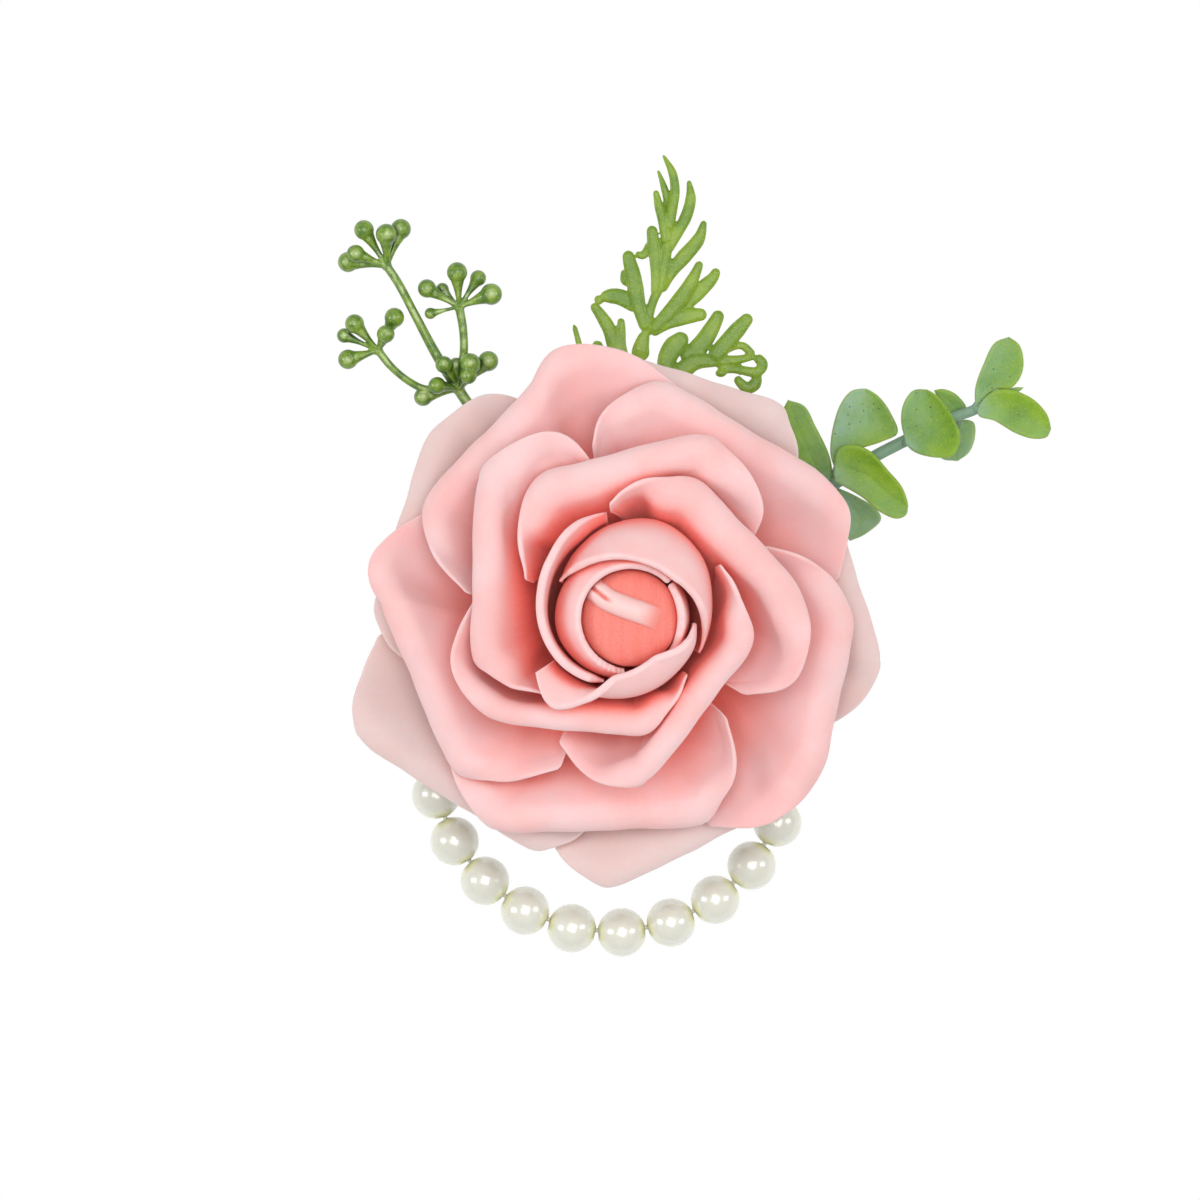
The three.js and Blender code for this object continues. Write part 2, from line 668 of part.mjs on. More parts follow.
const overrun = CHANNEL_OVERRUN / loopRadius;
const cordChannel = rod(
  new LoopArc(exitAngle - overrun, Math.PI - exitAngle + overrun),
  CORD_RADIUS + CLEARANCE,
  4,
  10,
);
const stubSocket = disc(STUB_RADIUS + CLEARANCE, stubBottom - CLEARANCE, glueTop + STUB_SEAT, 16)
  .translate(ROSE_OFFSET_X, 0, 0);
addPiece(
  corsage,
  'glue_pad',
  cut(disc(gluePadRadius, glueBottom, glueTop, 40), [cordChannel, stubSocket]),
  glueCloudy,
);

const calyxFlare = (CALYX_RADIUS - CALYX_FOOT_RADIUS) / (CALYX_HEIGHT - CALYX_LIP);
const coverHole = CALYX_FOOT_RADIUS + COVER_THICKNESS * calyxFlare + ROSE_OFFSET_X + CLEARANCE;
addPiece(
  corsage,
  'felt_cover',
  disc(FELT_RADIUS, coverBottom, coverBottom + COVER_THICKNESS, 40, coverHole),
  feltWhite,
);

// Sprig parts

function tapered(points, startRadius, endRadius, sides, steps) {
  // A round stem that thins along a smooth curve.
  const curve = smoothCurve(points);
  const frames = curve.computeFrenetFrames(steps, false);
  const rings = [];
  for (let step = 0; step <= steps; step += 1) {
    const centre = curve.getPointAt(step / steps);
    const radius = startRadius + (endRadius - startRadius) * step / steps;
    const ring = [];
    for (let side = 0; side < sides; side += 1) {
      const angle = 2 * Math.PI * side / sides;
      ring.push(centre.clone()
        .addScaledVector(frames.normals[step], radius * Math.cos(angle))
        .addScaledVector(frames.binormals[step], radius * Math.sin(angle)));
    }
    rings.push(ring);
  }
  return fromRings(rings);
}

function blade(points, width, thickness) {
  // A flat leaflet with a ridge: narrow at its root, widest in the middle, pointed at the end.
  const curve = smoothCurve(points);
  const steps = 3;
  const rings = [];
  for (let step = 0; step <= steps; step += 1) {
    const share = step / steps;
    const centre = curve.getPointAt(share);
    const along = curve.getTangentAt(share);
    const across = new THREE.Vector3(along.y, -along.x, 0).normalize();
    const belly = 0.45 + 0.75 * Math.sin(Math.PI * Math.min(1.15 * share + 0.1, 1));
    const half = width / 2 * belly * (1 - 0.72 * share ** 4);
    rings.push([
      centre.clone().addScaledVector(across, half),
      centre.clone().add(new THREE.Vector3(0, 0, -thickness / 2)),
      centre.clone().addScaledVector(across, -half),
      centre.clone().add(new THREE.Vector3(0, 0, thickness / 2)),
    ]);
  }
  return fromRings(rings);
}

function padEdge(azimuth, height) {
  const reach = gluePadRadius + CLEARANCE;
  return [reach * Math.cos(azimuth * DEGREE), reach * Math.sin(azimuth * DEGREE), height];
}

// Berry spray: one stem from the pad, three forks, each with a cluster of stalked berries

const SPRAY_AZIMUTH = 124;
const SPRAY_CROWN = [-24.6, 36.6, 7.5];
const SPRAY_FORKS = [
  {
    bend: [-29.5, 46, 9.5], hub: [-35.8, 55.6, 10],
    berries: [[-39.3, 61.2, 10.5], [-35.6, 60.4, 12], [-33.4, 61.6, 9.5], [-41.6, 57, 9.5]],
  },
  {
    bend: [-23.7, 43, 9], hub: [-24.2, 49, 10],
    berries: [[-29.2, 52.2, 9.5], [-24.6, 54.6, 11.5], [-21.2, 53.8, 9.5], [-18.9, 51.4, 10.5],
      [-28.9, 48.2, 9]],
  },
  {
    bend: [-31, 38.4, 8.5], hub: [-37, 42.4, 9.5],
    berries: [[-41, 46.8, 10.5], [-42.6, 43.8, 9], [-42, 40.8, 9.5], [-35.6, 45.6, 12], [-34.2, 48, 10]],
  },
  {
    bend: [-24.9, 37.2, 8.5], hub: [-25.2, 37.9, 9.5],
    berries: [[-30.2, 35.6, 7], [-27.8, 37.2, 11.5], [-26.8, 40.4, 11], [-22.6, 40.6, 12],
      [-22.6, 37.8, 10.5], [-19.6, 40.6, 9.5]],
  },
];

function stalkedBerry(from, to) {
  const start = new THREE.Vector3(...from);
  const end = new THREE.Vector3(...to);
  const along = end.clone().sub(start).normalize();
  const berry = new THREE.SphereGeometry(BERRY_RADIUS, 6, 4).scale(1, 1.18, 1);
  berry.applyQuaternion(new THREE.Quaternion().setFromUnitVectors(new THREE.Vector3(0, 1, 0), along));
  berry.translate(end.x, end.y, end.z);
  const stalk = tapered([from, to], 0.4 * BERRY_RADIUS, 0.5 * BERRY_RADIUS, 4, 1);
  return [stalk, berry];
}

const sprayPieces = [tapered(
  [padEdge(SPRAY_AZIMUTH, SPRIG_HEIGHT), [-16.5, 24.5, 6.5], SPRAY_CROWN],
  SPRAY_STEM_RADIUS * 1.3,
  SPRAY_STEM_RADIUS * 1.2,
  6,
  4,
)];
for (const fork of SPRAY_FORKS) {
  const forkLine = [SPRAY_CROWN, fork.bend, fork.hub];
  sprayPieces.push(tapered(forkLine, SPRAY_STEM_RADIUS, 0.8 * SPRAY_STEM_RADIUS, 6, 3));
  for (const berry of fork.berries) {
    sprayPieces.push(...stalkedBerry(fork.hub, berry));
  }
}
addPiece(corsage, 'berry_spray', join(sprayPieces), berryGreen);

// Fern: a main frond and a side frond, each a rib with leaflets

const FERN_AZIMUTH = 84;
const SIDE_FROND_AZIMUTH = 74;

const FERN_RIB = [
  padEdge(FERN_AZIMUTH, SPRIG_HEIGHT),
  [4.2, 30, 8], [6, 46, 9.5], [9, 60, 9], [8.6, 73, 8],
];
const FERN_LEAFLETS = [
  [[9.2, 65, 8.9], [8.2, 69, 9], [7.6, 71.2, 9]],
  [[9.2, 61, 9], [7.8, 65, 9.2], [7.1, 68, 9.2]],
  [[9.1, 60, 9], [12.6, 65, 9.4], [12.6, 69.6, 9.4]],
  [[8.2, 53.5, 9.4], [13.6, 58.8, 9.8], [15.2, 63.4, 9.8]],
  [[7.5, 52.5, 9.4], [6.5, 58.5, 9.8], [6.3, 62.8, 9.8]],
  [[6.2, 46, 9.5], [11, 50.6, 10], [14.4, 56.4, 10]],
  [[9, 48.4, 9.8], [13.4, 51.6, 10.1], [17.6, 55.2, 10.2]],
  [[6.4, 46.6, 9.6], [11, 47.6, 10], [16.2, 48.4, 10]],
  [[5.2, 41, 9], [4, 50.4, 9.8], [2.6, 58.4, 9.8]],
  [[4.1, 52, 9.8], [4.4, 56.6, 10], [5.9, 60.4, 10]],
  [[5.8, 46, 9.4], [1.8, 50.4, 9.8], [-1.6, 51.1, 9.8]],
  [[4.6, 34, 8.4], [0.8, 43.6, 9.4], [-2.9, 50, 9.4]],
  [[4.4, 32, 8.2], [1.6, 42, 9], [1.6, 47.8, 9]],
  [[4.3, 31, 8.1], [-3.4, 40, 8.8], [-6.4, 47, 8.8]],
];
const SIDE_RIB = [
  padEdge(SIDE_FROND_AZIMUTH, SPRIG_HEIGHT),
  [8.6, 32, 7.5], [13.5, 39.6, 8.2], [24.2, 40.4, 8.2],
];
const SIDE_LEAFLETS = [
  [[10, 36, 8], [10, 41.4, 8.4], [12, 45.2, 8.4]],
  [[14, 39.8, 8.2], [16, 44.4, 8.5], [18, 48.8, 8.5]],
  [[17, 40.4, 8.2], [20.6, 43.4, 8.5], [22.6, 47.8, 8.5]],
  [[18.6, 40.6, 8.2], [22.4, 43.4, 8.4], [24.9, 44.8, 8.4]],
  [[17, 40, 8.2], [20.6, 38.4, 8.4], [23.6, 36.6, 8.4]],
];

function frond(rib, leaflets) {
  const pieces = [tapered(rib, FERN_RIB_RADIUS * 1.2, FERN_RIB_RADIUS * 0.45, 5, 6)];
  for (const leaflet of leaflets) {
    pieces.push(blade(leaflet, FERN_BLADE_WIDTH, FERN_BLADE_THICKNESS));
  }
  return join(pieces);
}

addPiece(corsage, 'fern_frond', frond(FERN_RIB, FERN_LEAFLETS), fernGreen);
addPiece(corsage, 'fern_side_frond', frond(SIDE_RIB, SIDE_LEAFLETS), fernGreen);

// Eucalyptus: a bent stem with opposite leaf pairs, each pair on a collar round the stem

const EUCALYPTUS_AZIMUTH = 31;
const TWIG_POINTS = [
  padEdge(EUCALYPTUS_AZIMUTH, SPRIG_HEIGHT),
  [24, 14.6, 7], [35, 21, 8], [46, 27.6, 9], [57.4, 33.2, 9.5], [60.4, 34.6, 9.6],
];
const LEAF_PAIRS = [
  {
    along: 0.35,
    leaves: [
      { from: [-0.8, 1.4, -0.4], tip: [28.4, 34.6, 8], width: 4.6 },
      { from: [-0.4, -1.5, -1.1], tip: [41.5, 12.4, 3], width: 9.2 },
    ],
  },
  {
    along: 0.47,
    leaves: [
      { from: [0.2, 1.6, 0.4], tip: [40.4, 36.6, 11], width: 9.2 },
      { from: [0.6, 0.2, 1.6], tip: [47.2, 16.8, 11.6], width: 8.8 },
    ],
  },
  {
    along: 0.66,
    leaves: [
      { from: [0.2, 0.6, 1.5], tip: [51.8, 36.2, 12.5], width: 8.6 },
      { from: [0.4, 0.2, -1.6], tip: [58.4, 33.4, 5.5], width: 9 },
    ],
  },
  {
    along: 0.93,
    leaves: [
      { from: [0.2, 1.5, 0.4], tip: [63.4, 44.4, 11], width: 7.2 },
      { from: [0.9, -1.2, 0.4], tip: [69.4, 29, 11], width: 7.2 },
    ],
  },
];

const twigCurve = smoothCurve(TWIG_POINTS);
addPiece(
  corsage,
  'eucalyptus_stem',
  tapered(TWIG_POINTS, EUCALYPTUS_STEM_RADIUS, EUCALYPTUS_STEM_RADIUS * 0.7, 8, 12),
  twigGreen,
);

function leaf(base, tip, width) {
  // An oval blade, cupped across, that springs from its base and lies nearly flat.
  const rows = 5;
  const columns = 2;
  const along = tip.clone().sub(base);
  const across = new THREE.Vector3(-along.y, along.x, 0).normalize();
  const grid = [];
  for (let row = 0; row <= rows; row += 1) {
    const share = row / rows;
    const half = width / 2 * (0.16 + 0.84 * Math.sin(Math.PI * (0.06 + 0.86 * share)) ** 0.8);
    const points = [];
    for (let column = 0; column <= columns; column += 1) {
      const side = 2 * column / columns - 1;
      const point = base.clone().addScaledVector(along, share).addScaledVector(across, -side * half);
      point.z += LEAF_CUP * side * side + LEAF_ARCH * Math.sin(Math.PI * share);
      points.push(point);
    }
    grid.push(points);
  }
  return sheet(grid, LEAF_THICKNESS);
}

LEAF_PAIRS.forEach(({ along, leaves }, index) => {
  const centre = twigCurve.getPointAt(along);
  const direction = twigCurve.getTangentAt(along);
  const bore = EUCALYPTUS_STEM_RADIUS + CLEARANCE;
  const collar = new THREE.CylinderGeometry(bore + COLLAR_WALL, bore + COLLAR_WALL, COLLAR_LENGTH, 10);
  const hole = new THREE.CylinderGeometry(bore, bore, 4 * COLLAR_LENGTH, 10);
  const turn = new THREE.Quaternion().setFromUnitVectors(new THREE.Vector3(0, 1, 0), direction);
  for (const tube of [collar, hole]) {
    tube.applyQuaternion(turn);
    tube.translate(centre.x, centre.y, centre.z);
  }
  const blades = leaves.map(({ from, tip, width }) => (
    leaf(new THREE.Vector3(...from).add(centre), new THREE.Vector3(...tip), width)
  ));
  const pair = cut(join([collar, ...blades]), [hole]);
  addPiece(corsage, `eucalyptus_leaf_pair_${index + 1}`, pair, leafGreen);
});

export default corsage;
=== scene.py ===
"""Looks of the wrist corsage: foam rose, sprigs, felt-backed pad and stretch bracelet of pearls.

Shapes are written in millimetres in the part's own frame and turned into metres by mesh_object.
"""

import math

import bpy
import numpy as np
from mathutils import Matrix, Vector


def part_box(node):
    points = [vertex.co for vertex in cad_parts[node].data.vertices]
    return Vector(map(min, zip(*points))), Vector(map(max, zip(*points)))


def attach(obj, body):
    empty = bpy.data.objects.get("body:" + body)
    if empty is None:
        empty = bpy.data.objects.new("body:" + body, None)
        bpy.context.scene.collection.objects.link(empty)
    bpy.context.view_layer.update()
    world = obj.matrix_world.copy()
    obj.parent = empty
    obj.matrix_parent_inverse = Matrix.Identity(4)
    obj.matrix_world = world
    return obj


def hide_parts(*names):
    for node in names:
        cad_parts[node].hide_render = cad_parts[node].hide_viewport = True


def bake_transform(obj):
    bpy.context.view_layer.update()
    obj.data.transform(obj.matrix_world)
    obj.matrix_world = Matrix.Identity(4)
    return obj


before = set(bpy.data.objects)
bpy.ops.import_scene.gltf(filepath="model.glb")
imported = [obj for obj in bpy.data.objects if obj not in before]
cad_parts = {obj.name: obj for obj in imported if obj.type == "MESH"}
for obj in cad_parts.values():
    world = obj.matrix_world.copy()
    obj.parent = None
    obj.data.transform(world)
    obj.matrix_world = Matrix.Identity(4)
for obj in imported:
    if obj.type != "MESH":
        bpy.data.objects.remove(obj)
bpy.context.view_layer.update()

MM = 0.001
PER_METRE = 1000
TINY = 1e-9
NEAR_AXIS = 0.02
ROSE_X = 1.2
CLEARANCE = 0.3


# Meshes

def mesh_object(name, points, faces, layers=None):
    mesh = bpy.data.meshes.new(name)
    mesh.from_pydata((np.asarray(points, float) * MM).tolist(), [], faces)
    mesh.polygons.foreach_set("use_smooth", [True] * len(mesh.polygons))
    for layer, values in (layers or {}).items():
        attribute = mesh.attributes.new(layer, "FLOAT", "POINT")
        attribute.data.foreach_set("value", np.asarray(values, np.float32))
    obj = bpy.data.objects.new(name, mesh)
    bpy.context.scene.collection.objects.link(obj)
    return obj


def dress(obj, body, slot, material, *nodes):
    obj.data.materials.clear()
    obj.data.materials.append(material)
    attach(obj, body)
    if nodes:
        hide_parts(*nodes)


def unit(vectors):
    return vectors / np.maximum(np.linalg.norm(vectors, axis=-1, keepdims=True), TINY)


def catmull(points, shares):
    """Smooth curve through points, each span with the same share of the parameter."""
    pts = np.asarray(points, float)
    pts = np.vstack([2 * pts[0] - pts[1], pts, 2 * pts[-1] - pts[-2]])
    spans = len(pts) - 3
    place = np.clip(np.asarray(shares, float), 0, 1) * spans
    first = np.minimum(place.astype(int), spans - 1)
    t = (place - first)[:, None]
    p0, p1, p2, p3 = (pts[first + k] for k in range(4))
    d0, d1, d2 = (
        np.maximum(np.linalg.norm(b - a, axis=1), TINY)[:, None] ** 0.5
        for a, b in ((p0, p1), (p1, p2), (p2, p3))
    )
    m1 = ((p1 - p0) / d0 - (p2 - p0) / (d0 + d1) + (p2 - p1) / d1) * d1
    m2 = ((p2 - p1) / d1 - (p3 - p1) / (d1 + d2) + (p3 - p2) / d2) * d1
    curve = p1 + m1 * t + (-3 * p1 + 3 * p2 - 2 * m1 - m2) * t ** 2
    return curve + (2 * p1 - 2 * p2 + m1 + m2) * t ** 3


STEPS_PER_POINT = 60


def run_along(lines):
    """Length covered so far at each point of a line, or of lines side by side."""
    steps = np.linalg.norm(np.diff(lines, axis=0), axis=-1)
    return np.concatenate([np.zeros_like(steps[:1]), np.cumsum(steps, axis=0)])


def even_curve(points, count):
    """Points of the smooth curve, evenly spaced along its length, and that length."""
    fine = catmull(points, np.linspace(0, 1, STEPS_PER_POINT * len(points)))
    run = run_along(fine)
    at = np.linspace(0, run[-1], count)
    return np.stack([np.interp(at, run, fine[:, k]) for k in range(fine.shape[1])], axis=1), run[-1]


EDGE_STEPS = np.array([0.0, 0.03, 0.12, 0.28, 0.5])


def towards_edge(length, count):
    """Distances after the start of a line, close together near its far end."""
    return np.append(np.linspace(0, length - EDGE_STEPS[-1], count)[1:], length - EDGE_STEPS[-2::-1])


def edge_offsets(length, count):
    """Distances along a line, close together near both ends so that cut edges come out round."""
    inner = np.linspace(EDGE_STEPS[-1], length - EDGE_STEPS[-1], count)
    return np.concatenate([EDGE_STEPS[:-1], inner, length - EDGE_STEPS[-2::-1]])


def roundness(distance, reach=EDGE_STEPS[-1]):
    """Half-round fall of a sheet's thickness towards its edge."""
    near = 1 - np.clip(distance / reach, 0, 1)
    return np.sqrt(np.maximum(1 - near ** 2, 0))


def smoothstep(value, high):
    share = np.clip(value / high, 0, 1)
    return share ** 2 * (3 - 2 * share)


def bell(distance, width):
    return np.exp(-(distance / width) ** 2)


def waves(run, parts):
    """Sum of sine waves, each with its height, length and shift."""
    return sum(height * np.sin(run / length + shift) for height, length, shift in parts)


def heading(angle):
    return np.stack([np.cos(angle), np.sin(angle)], axis=-1)


def grid_faces(index):
    corners = index[:-1, :-1], index[:-1, 1:], index[1:, 1:], index[1:, :-1]
    return np.stack(corners, axis=-1).reshape(-1, 4)


def closed_sheet(name, grid, half, layers):
    """A sheet of the given half thickness round a grid of middle points, closed at its edges."""
    rows, columns = grid.shape[:2]
    normal = unit(np.cross(np.gradient(grid, axis=1), np.gradient(grid, axis=0)))
    offset = normal * half[..., None]
    front = np.arange(rows * columns).reshape(rows, columns)
    back = front + rows * columns
    back[0], back[-1] = front[0], front[-1]
    back[:, 0], back[:, -1] = front[:, 0], front[:, -1]
    points = np.vstack([(grid + offset).reshape(-1, 3), (grid - offset).reshape(-1, 3)])
    faces = np.vstack([grid_faces(front), grid_faces(back)[:, [0, 3, 2, 1]]])
    used = np.unique(faces)
    renumber = np.full(len(points), -1)
    renumber[used] = np.arange(len(used))
    doubled = {key: np.tile(np.asarray(value, float).reshape(-1), 2)[used] for key, value in layers.items()}
    doubled["back_face"] = np.repeat([0.0, 1.0], rows * columns)[used]
    return mesh_object(name, points[used], renumber[faces].tolist(), doubled)


def lathe(profile, segments):
    """Rings of a turned profile of (radius, height) round Z."""
    turn = np.linspace(0, 2 * math.pi, segments, endpoint=False)
    return np.array([[(r * math.cos(t), r * math.sin(t), z) for t in turn] for r, z in profile])


def ring_faces(rings, sides, closed=False, start=0):
    """Faces of rings joined into a tube, which is capped or closed on itself."""
    index = start + np.arange(rings * sides).reshape(rings, sides)
    faces = grid_faces(np.pad(index, ((0, int(closed)), (0, 1)), "wrap")).tolist()
    if not closed:
        faces += [index[0, ::-1].tolist(), index[-1].tolist()]
    return faces


NEARLY_UPRIGHT = 1e-3


def frames_along(line):
    """Level and upward directions square to a line at each of its points."""
    tangent = unit(np.gradient(line, axis=0))
    across = np.cross(tangent, [0, 0, 1.0])
    across[np.linalg.norm(across, axis=1) < NEARLY_UPRIGHT] = [1, 0, 0]
    across = unit(across)
    return across, np.cross(across, tangent)


def tube_rings(line, across_radius, up_radius, sides, squareness=1.0):
    across, up = frames_along(line)
    turn = np.linspace(0, 2 * math.pi, sides, endpoint=False)
    wide, high = (np.sign(wave) * np.abs(wave) ** squareness for wave in (np.cos(turn), np.sin(turn)))
    return (
        line[:, None]
        + across[:, None] * (np.asarray(across_radius)[:, None] * wide)[..., None]
        + up[:, None] * (np.asarray(up_radius)[:, None] * high)[..., None]
    )


LOBE_SIDES = 20
LOBE_SQUARENESS = 0.75
LOBE_FLATNESS = 0.75
LEAST_LOBE_END = 0.15
LOBE_CAP = 0.02
EASING_ROUNDS = 3


class Bundle:
    """Several closed tubes gathered into one mesh."""

    def __init__(self):
        self.points, self.faces = [], []

    def add_rings(self, rings):
        start = sum(len(p) for p in self.points)
        count, sides = rings.shape[:2]
        self.points.append(rings.reshape(-1, 3))
        self.faces += ring_faces(count, sides, start=start)

    def tube(self, points, radii, sides, count):
        line, _ = even_curve(points, count)
        radius = np.interp(np.linspace(0, 1, count), np.linspace(0, 1, len(radii)), radii)
        self.add_rings(tube_rings(line, radius, radius, sides))

    def lobe(self, points, widths, thickness, count):
        """A flattened tube with round ends, as wide as the given widths along it."""
        line, length = even_curve(points, count)
        place = np.linspace(0, 1, count)
        width = np.interp(place, np.linspace(0, 1, len(widths)), widths)
        run = place * length
        reach_in, reach_out = (max(widths[end] / 2, LEAST_LOBE_END) for end in (0, -1))
        ends = roundness(run + LOBE_CAP, reach_in) * roundness(length - run + LOBE_CAP, reach_out)
        thick = np.minimum(thickness, LOBE_FLATNESS * width)
        self.add_rings(tube_rings(line, width / 2 * ends, thick / 2 * ends, LOBE_SIDES, LOBE_SQUARENESS))

    def build(self, name):
        return mesh_object(name, np.concatenate(self.points), self.faces)


def tube_piece(name, points, radii, sides, count):
    bundle = Bundle()
    bundle.tube(points, radii, sides, count)
    return bundle.build(name)


def fuse(obj, voxel):
    """Melts the overlapping tubes of a piece into one moulded skin."""
    remesh = obj.modifiers.new("moulded", "REMESH")
    remesh.mode = "VOXEL"
    remesh.voxel_size = voxel * MM
    remesh.use_smooth_shade = True
    ease = obj.modifiers.new("eased", "SMOOTH")
    ease.factor = 0.5
    ease.iterations = EASING_ROUNDS
    graph = bpy.context.evaluated_depsgraph_get()
    mesh = bpy.data.meshes.new_from_object(obj.evaluated_get(graph))
    obj.modifiers.clear()
    obj.data = mesh
    return obj


# Materials

class Paint:
    """A procedural material built from nodes, with object coordinates in metres."""

    def __init__(self, name):
        self.material = bpy.data.materials.new(name)
        self.material.use_nodes = True
        self.nodes = self.material.node_tree.nodes
        self.links = self.material.node_tree.links
        self.bsdf = self.nodes["Principled BSDF"]
        self.place = self.node("TexCoord").outputs["Object"]

    def feed(self, socket, value):
        if isinstance(value, bpy.types.NodeSocket):
            self.links.new(value, socket)
        else:
            socket.default_value = value

    def node(self, kind, inputs=()):
        """A new node, with numbers or other nodes' outputs on its inputs."""
        node = self.nodes.new(f"ShaderNode{kind}")
        for key, value in dict(inputs).items():
            self.feed(node.inputs[key], value)
        return node

    def set(self, **values):
        for key, value in values.items():
            self.feed(self.bsdf.inputs[key.replace("_", " ").title().replace("Ior", "IOR")], value)

    def noise(self, size_mm, detail=3.0, rough=0.5, stretch=(1, 1, 1), vector=None):
        mapping = self.node("Mapping", {"Vector": vector or self.place, "Scale": stretch})
        inputs = {"Scale": PER_METRE / size_mm, "Detail": detail, "Roughness": rough}
        return self.node("TexNoise", {"Vector": mapping.outputs["Vector"], **inputs}).outputs["Fac"]

    def specks(self, size_mm, low, high):
        cells = self.node("TexVoronoi", {"Vector": self.place, "Scale": PER_METRE / size_mm})
        return self.span(cells.outputs["Distance"], low, high, 1, 0)

    def layer(self, name):
        node = self.node("Attribute")
        node.attribute_name = name
        return node.outputs["Fac"]

    def span(self, value, low, high, to_low=0.0, to_high=1.0):
        limits = {"From Min": low, "From Max": high, "To Min": to_low, "To Max": to_high}
        node = self.node("MapRange", {"Value": value, **limits})
        node.interpolation_type = "SMOOTHSTEP"
        return node.outputs["Result"]

    def maths(self, operation, a, b):
        node = self.node("Math", {0: a, 1: b})
        node.operation = operation
        return node.outputs[0]

    def mix(self, share, a, b):
        node = self.node("Mix", {0: share})
        node.data_type = "RGBA"
        for socket, value in ((node.inputs[6], a), (node.inputs[7], b)):
            self.feed(socket, value if isinstance(value, bpy.types.NodeSocket) else (*value, 1.0))
        return node.outputs[2]

    # Painted shade: ambient occlusion, low in creases and recesses, used to darken or warm the colour
    # there.
    def hollow_shade(self, distance_mm):
        return self.node("AmbientOcclusion", {"Distance": distance_mm * MM}).outputs["AO"]

    def lying_flat(self):
        normal = self.node("NewGeometry").outputs["Normal"]
        return self.maths("ABSOLUTE", self.node("SeparateXYZ", {"Vector": normal}).outputs["Z"], 0.0)

    def bump(self, height, depth_mm, strength=1.0, under=None):
        inputs = {"Height": height, "Distance": depth_mm * MM, "Strength": strength}
        if under is not None:
            inputs["Normal"] = under
        return self.node("Bump", inputs).outputs["Normal"]


def foam(name, light, deep, edge, glow):
    """Matt foam: soft light through it, fine pores, faint streaks, painted warm shade in its depths and
    creases, pale where cut.
    """
    paint = Paint(name)
    on_sheet = paint.node("CombineXYZ", {"X": paint.layer("across"), "Y": paint.layer("along")})
    streaks = paint.noise(900.0, 2.0, 0.5, (1.0, 0.13, 1.0), on_sheet.outputs["Vector"])
    pores = paint.noise(0.32, 2.0, 0.6)
    cloud = paint.noise(11.0, 3.0)
    colour = paint.mix(paint.span(cloud, 0.3, 0.7, 0.0, 0.25), light, deep)
    # Painted warm shade: deep salmon towards the foot of each sheet and in its recesses, in place of light
    # glowing through the foam and bouncing in the wells.
    colour = paint.mix(paint.maths("MULTIPLY", paint.layer("depth"), glow), colour, deep)
    colour = paint.mix(paint.span(paint.hollow_shade(8.0), 0.1, 0.75, 0.85, 0.0), colour, deep)
    colour = paint.mix(paint.span(pores, 0.3, 0.75, 0.0, 0.11), colour, edge)
    colour = paint.mix(paint.span(streaks, 0.4, 0.65, 0.0, 0.05), colour, edge)
    colour = paint.mix(paint.span(paint.layer("edge"), 0.25, 1.0, 0.0, 0.5), colour, edge)
    normal = paint.bump(pores, 0.05, 0.6)
    normal = paint.bump(streaks, 0.04, 0.35, normal)
    paint.set(
        base_color=colour, roughness=0.72, specular_ior_level=0.2, sheen_weight=0.1, sheen_roughness=0.5,
        subsurface_weight=0.3, subsurface_scale=0.0015, subsurface_radius=(1.0, 0.32, 0.26), normal=normal,
    )
    return paint.material


# Colours of the skin, of the painted warm shade in its depths and of its cut edges, and how far the depths
# are filled with that shade
foam_pink = foam("blush foam", (0.88, 0.6, 0.6), (0.98, 0.225, 0.17), (0.9, 0.68, 0.68), 0.9)
foam_pale = foam("pale blush foam", (0.75, 0.6, 0.58), (0.76, 0.41, 0.37), (0.8, 0.69, 0.67), 0.4)
foam_salmon = foam("bud foam", (0.92, 0.6, 0.58), (0.86, 0.18, 0.13), (0.95, 0.72, 0.7), 0.9)


def pearl_paint():
    paint = Paint("ivory pearl")
    ivory, cloudy, rim, hole = (0.71, 0.71, 0.6), (0.77, 0.77, 0.68), (0.88, 0.88, 0.68), (0.76, 0.76, 0.42)
    cloud = paint.noise(2.2, 2.0)
    colour = paint.mix(cloud, ivory, cloudy)
    # Painted reflection: the sides, turned away from straight up, take a lighter, yellower rim colour
    # standing in for the white surroundings reflected there.
    colour = paint.mix(paint.span(paint.lying_flat(), 0.15, 0.6, 0.6, 0.0), colour, rim)
    colour = paint.mix(paint.span(paint.layer("pole"), 0.6, 0.97, 0.0, 0.9), colour, hole)
    paint.set(
        base_color=colour, roughness=0.24, specular_ior_level=0.75, sheen_weight=0.3, sheen_roughness=0.35,
        coat_weight=1.0, coat_roughness=0.2, coat_ior=2.0, normal=paint.bump(cloud, 0.02, 0.15),
        subsurface_weight=0.25, subsurface_scale=0.0012, subsurface_radius=(1.0, 0.95, 0.7),
    )
    return paint.material


